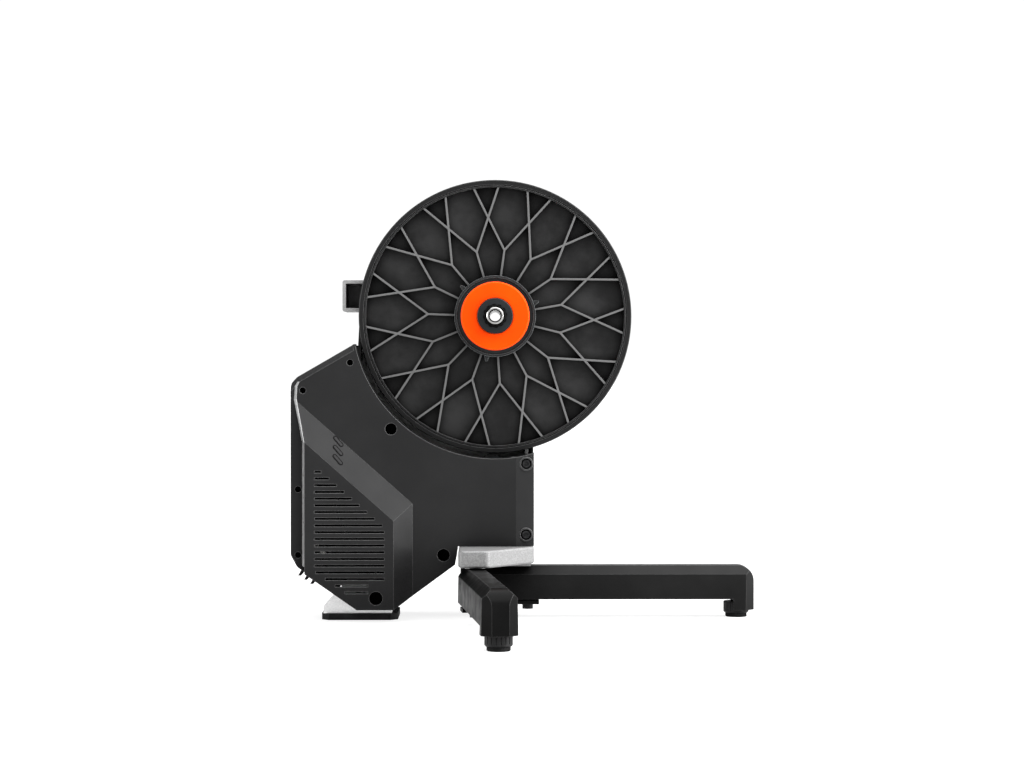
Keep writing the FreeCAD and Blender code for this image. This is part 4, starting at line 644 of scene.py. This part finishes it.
def add_socket_ring(mesh, centre, side, outer, half_flats):
    """A raised ring round a hexagonal key socket; it stands out towards side along Y."""
    round_rows = ((outer, 0.0), (outer, SOCKET_SHOULDER), (outer - SOCKET_CHAMFER, 1.0))
    hexagonal = None
    rows = []
    for reach, rise in (*round_rows, (hexagonal, 1.0), (hexagonal, 0.0)):
        row = []
        for step in range(SOCKET_STEPS):
            angle = turn_at(step, SOCKET_STEPS)
            radius = hex_reach(angle, half_flats) if reach is hexagonal else reach
            place = Vector((radius * math.cos(angle), side * rise * SOCKET_HEIGHT, radius * math.sin(angle)))
            row.append(mesh.verts.new(centre + place))
        rows.append(row)
    join_rows(mesh, rows)


def make_screw_sockets(material):
    """Key sockets on the heads of the casing's screws, both sides."""
    for node, side in (("right_cover_screws", -1), ("left_cover_screws", 1)):
        mesh = bmesh.new()
        screws = joined_copy(node)
        for lump in lumps_of(screws):
            low, high = box_of(lump)
            head = low.y if side < 0 else high.y
            radius = (high.x - low.x) / 2
            centre = Vector(((low.x + high.x) / 2, head, (low.z + high.z) / 2))
            add_socket_ring(mesh, centre, side, radius - SOCKET_MARGIN, SOCKET_SHARE * radius)
        screws.free()
        add_piece(node + "_sockets", mesh, material, "frame")


def light_places():
    """The middles of the status lights where they leave the cover's flank, and the way the flank looks."""
    nearly_parallel = 0.999
    source = joined_copy("status_lights")
    source.normal_update()
    outward = facing(source)
    front = set()
    for face in source.faces:
        if face.normal.dot(outward) > nearly_parallel:
            front.update(face.verts)
    middles = []
    for lump in lumps_of(source):
        places = [vertex.co for vertex in lump if vertex in front]
        middles.append(sum(places, Vector()) / len(places) - outward * LIGHT_PROUD)
    source.free()
    return middles, outward


def pill_row(mesh, centre, half, sideways, radius, rise):
    """One closed row of vertices round a pill whose end circles sit at centre +- half."""
    ahead = half.normalized()
    row = []
    for end, first in ((1, -90.0), (-1, 90.0)):
        for step in range(PILL_END_STEPS + 1):
            angle = math.radians(first + 180.0 / PILL_END_STEPS * step)
            turned = ahead * math.cos(angle) + sideways * math.sin(angle)
            row.append(mesh.verts.new(centre + half * end + turned * radius + rise))
    return row


def make_status_lights(lens_material, seal_material):
    """Three slanted pills in the flank, each with a dark seal round it."""
    middles, outward = light_places()
    across, down = LIGHT_HALF
    half = Vector((across, (across * outward.x - down * outward.z) / -outward.y, -down))
    sideways = outward.cross(half).normalized()
    seal_radius = LIGHT_RADIUS + SEAL_WIDTH
    lens_profile = ((LIGHT_RADIUS, -LIGHT_PROUD), (LIGHT_RADIUS, LENS_SHOULDER),
                    (LIGHT_RADIUS - LENS_CHAMFER, LENS_TOP))
    seal_profile = ((LIGHT_RADIUS, -LIGHT_PROUD), (LIGHT_RADIUS, SEAL_TOP),
                    (seal_radius, SEAL_TOP), (seal_radius, -LIGHT_PROUD))
    lenses = bmesh.new()
    seals = bmesh.new()
    for middle in middles:
        cap_rows(lenses, [pill_row(lenses, middle, half, sideways, radius, outward * lift)
                          for radius, lift in lens_profile])
        join_rows(seals, [pill_row(seals, middle, half, sideways, radius, outward * lift)
                          for radius, lift in seal_profile])
    piece = add_piece("status_light_lenses", lenses, lens_material, "frame")
    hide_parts("status_lights")
    add_piece("status_light_seals", seals, seal_material, "frame")


def make_cover_edge(material):
    """The narrow chamfer down the left side of the cover, from its top corner past the raised panel, in a
    lighter finish that is a painted highlight.
    """
    mesh = bmesh.new()
    rows = []
    foot = COVER_FACE + EDGE_SUNK
    for x, z, wide, high in COVER_EDGE:
        crest = COVER_FACE - high
        corners = ((x - wide, foot), (x, crest), (x + EDGE_BACK, crest + EDGE_DROP), (x + EDGE_BACK, foot))
        rows.append([mesh.verts.new(MILLIMETRE * Vector((place, depth, z))) for place, depth in corners])
    cap_rows(mesh, rows)
    add_piece("cover_edge_chamfer", mesh, material, "frame")


def make_lockring_teeth(material):
    """A flat dark star round the lockring, lying on the cog carrier."""
    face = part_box("cog_carrier")[0][1]
    inner = NODES["lockring"].dimensions[0] / 2 - STAR_LAP
    steps = TEETH * STEPS_PER_TOOTH
    mesh = bmesh.new()
    rows = []
    for toothed, depth in ((False, face - STAR_RISE), (True, face - STAR_RISE),
                           (True, face + STAR_SUNK), (False, face + STAR_SUNK)):
        row = []
        for step in range(steps):
            on_tooth = step % STEPS_PER_TOOTH < STEPS_PER_TOOTH / 2
            reach = inner
            if toothed:
                reach += TOOTH_TIP if on_tooth else TOOTH_ROOT
            angle = turn_at(step, steps)
            row.append(mesh.verts.new((reach * math.cos(angle), depth, reach * math.sin(angle))))
        rows.append(row)
    join_rows(mesh, rows)
    add_piece("lockring_teeth", mesh, material, "freehub")


def make_details():
    seal = seal_finish()
    make_screw_sockets(black_steel_finish())
    make_status_lights(lens_finish(), seal)
    make_cover_edge(chamfer_highlight_finish())
    make_lockring_teeth(seal)


# Floor, light and camera

def make_floor():
    """A large plain pale floor under the feet, bright enough to meet the white horizon."""
    mesh = bpy.data.meshes.new("floor")
    corners = [(x * FLOOR_HALF, y * FLOOR_HALF, FLOOR_Z) for x, y in ((-1, -1), (1, -1), (1, 1), (-1, 1))]
    mesh.from_pydata(corners, [], [(0, 1, 2, 3)])
    floor = show("floor", mesh)
    finish = Finish("pale_floor", roughness=0.9, shine=0.05)
    finish.mottle(dark=grey(0.26), light=grey(0.28), scale=3.0, detail=2.0)
    finish.shader.inputs["Emission Color"].default_value = (1.0, 1.0, 1.0, 1.0)
    finish.shader.inputs["Emission Strength"].default_value = FLOOR_GLOW
    mesh.materials.append(finish.material)


def make_world():
    """A white studio: bright round the horizon, dim higher up, where the lamps take over."""
    world = bpy.data.worlds.new("studio")
    bpy.context.scene.world = world
    world.use_nodes = True
    tree = world.node_tree
    background = tree.nodes["Background"]
    place = tree.nodes.new("ShaderNodeTexCoord")
    parts = tree.nodes.new("ShaderNodeSeparateXYZ")
    tree.links.new(place.outputs["Generated"], parts.inputs["Vector"])
    height = tree.nodes.new("ShaderNodeMapRange")
    height.interpolation_type = "SMOOTHSTEP"
    low, high = HORIZON_SINE
    limits = {"From Min": low, "From Max": high, "To Min": HORIZON_LIGHT, "To Max": DOME_LIGHT}
    for name, number in limits.items():
        height.inputs[name].default_value = number
    tree.links.new(parts.outputs["Z"], height.inputs["Value"])
    tree.links.new(height.outputs["Result"], background.inputs["Strength"])
    background.inputs["Color"].default_value = (1.0, 1.0, 1.0, 1.0)


def turn_towards(lamp, way):
    lamp.rotation_euler = Vector(way).to_track_quat("-Z", "Y").to_euler()


def add_softbox(name, place, size, power):
    light = bpy.data.lights.new(name, "AREA")
    light.shape = "RECTANGLE"
    light.size, light.size_y = size
    light.energy = power
    lamp = show(name, light)
    lamp.location = place
    turn_towards(lamp, Vector(LIGHT_AIM) - Vector(place))


def make_lights():
    """A wide even light from above, a key and a high light on the right and a weak light on the left."""
    light = bpy.data.lights.new("overhead_light", "SUN")
    light.angle = SUN_SPREAD
    light.energy = SUN_STRENGTH
    turn_towards(show("overhead_light", light), SUN_WAY)
    add_softbox("right_light", place=(2.5, -0.8, 0.3), size=(1.2, 1.4), power=90.0)
    add_softbox("high_light", place=(2.0, -0.7, 2.0), size=(1.0, 1.0), power=60.0)
    add_softbox("left_light", place=(-2.4, -0.2, 0.3), size=(0.5, 1.6), power=30.0)


def make_camera():
    """The photograph's viewpoint: about 2.6 m off, just under the axle's height."""
    camera = bpy.data.cameras.new("camera")
    camera.sensor_width = CAMERA_SENSOR
    camera.lens = CAMERA_LENS
    camera.clip_start = 0.05
    camera.clip_end = 80.0
    eye = show("camera", camera)
    eye.location = CAMERA_PLACE
    eye.rotation_euler = (math.radians(90.0) + CAMERA_TILT, 0.0, CAMERA_TURN)
    bpy.context.scene.camera = eye


dress_all()
make_details()
make_floor()
make_world()
make_lights()
make_camera()
bpy.context.scene.view_settings.view_transform = "Standard"
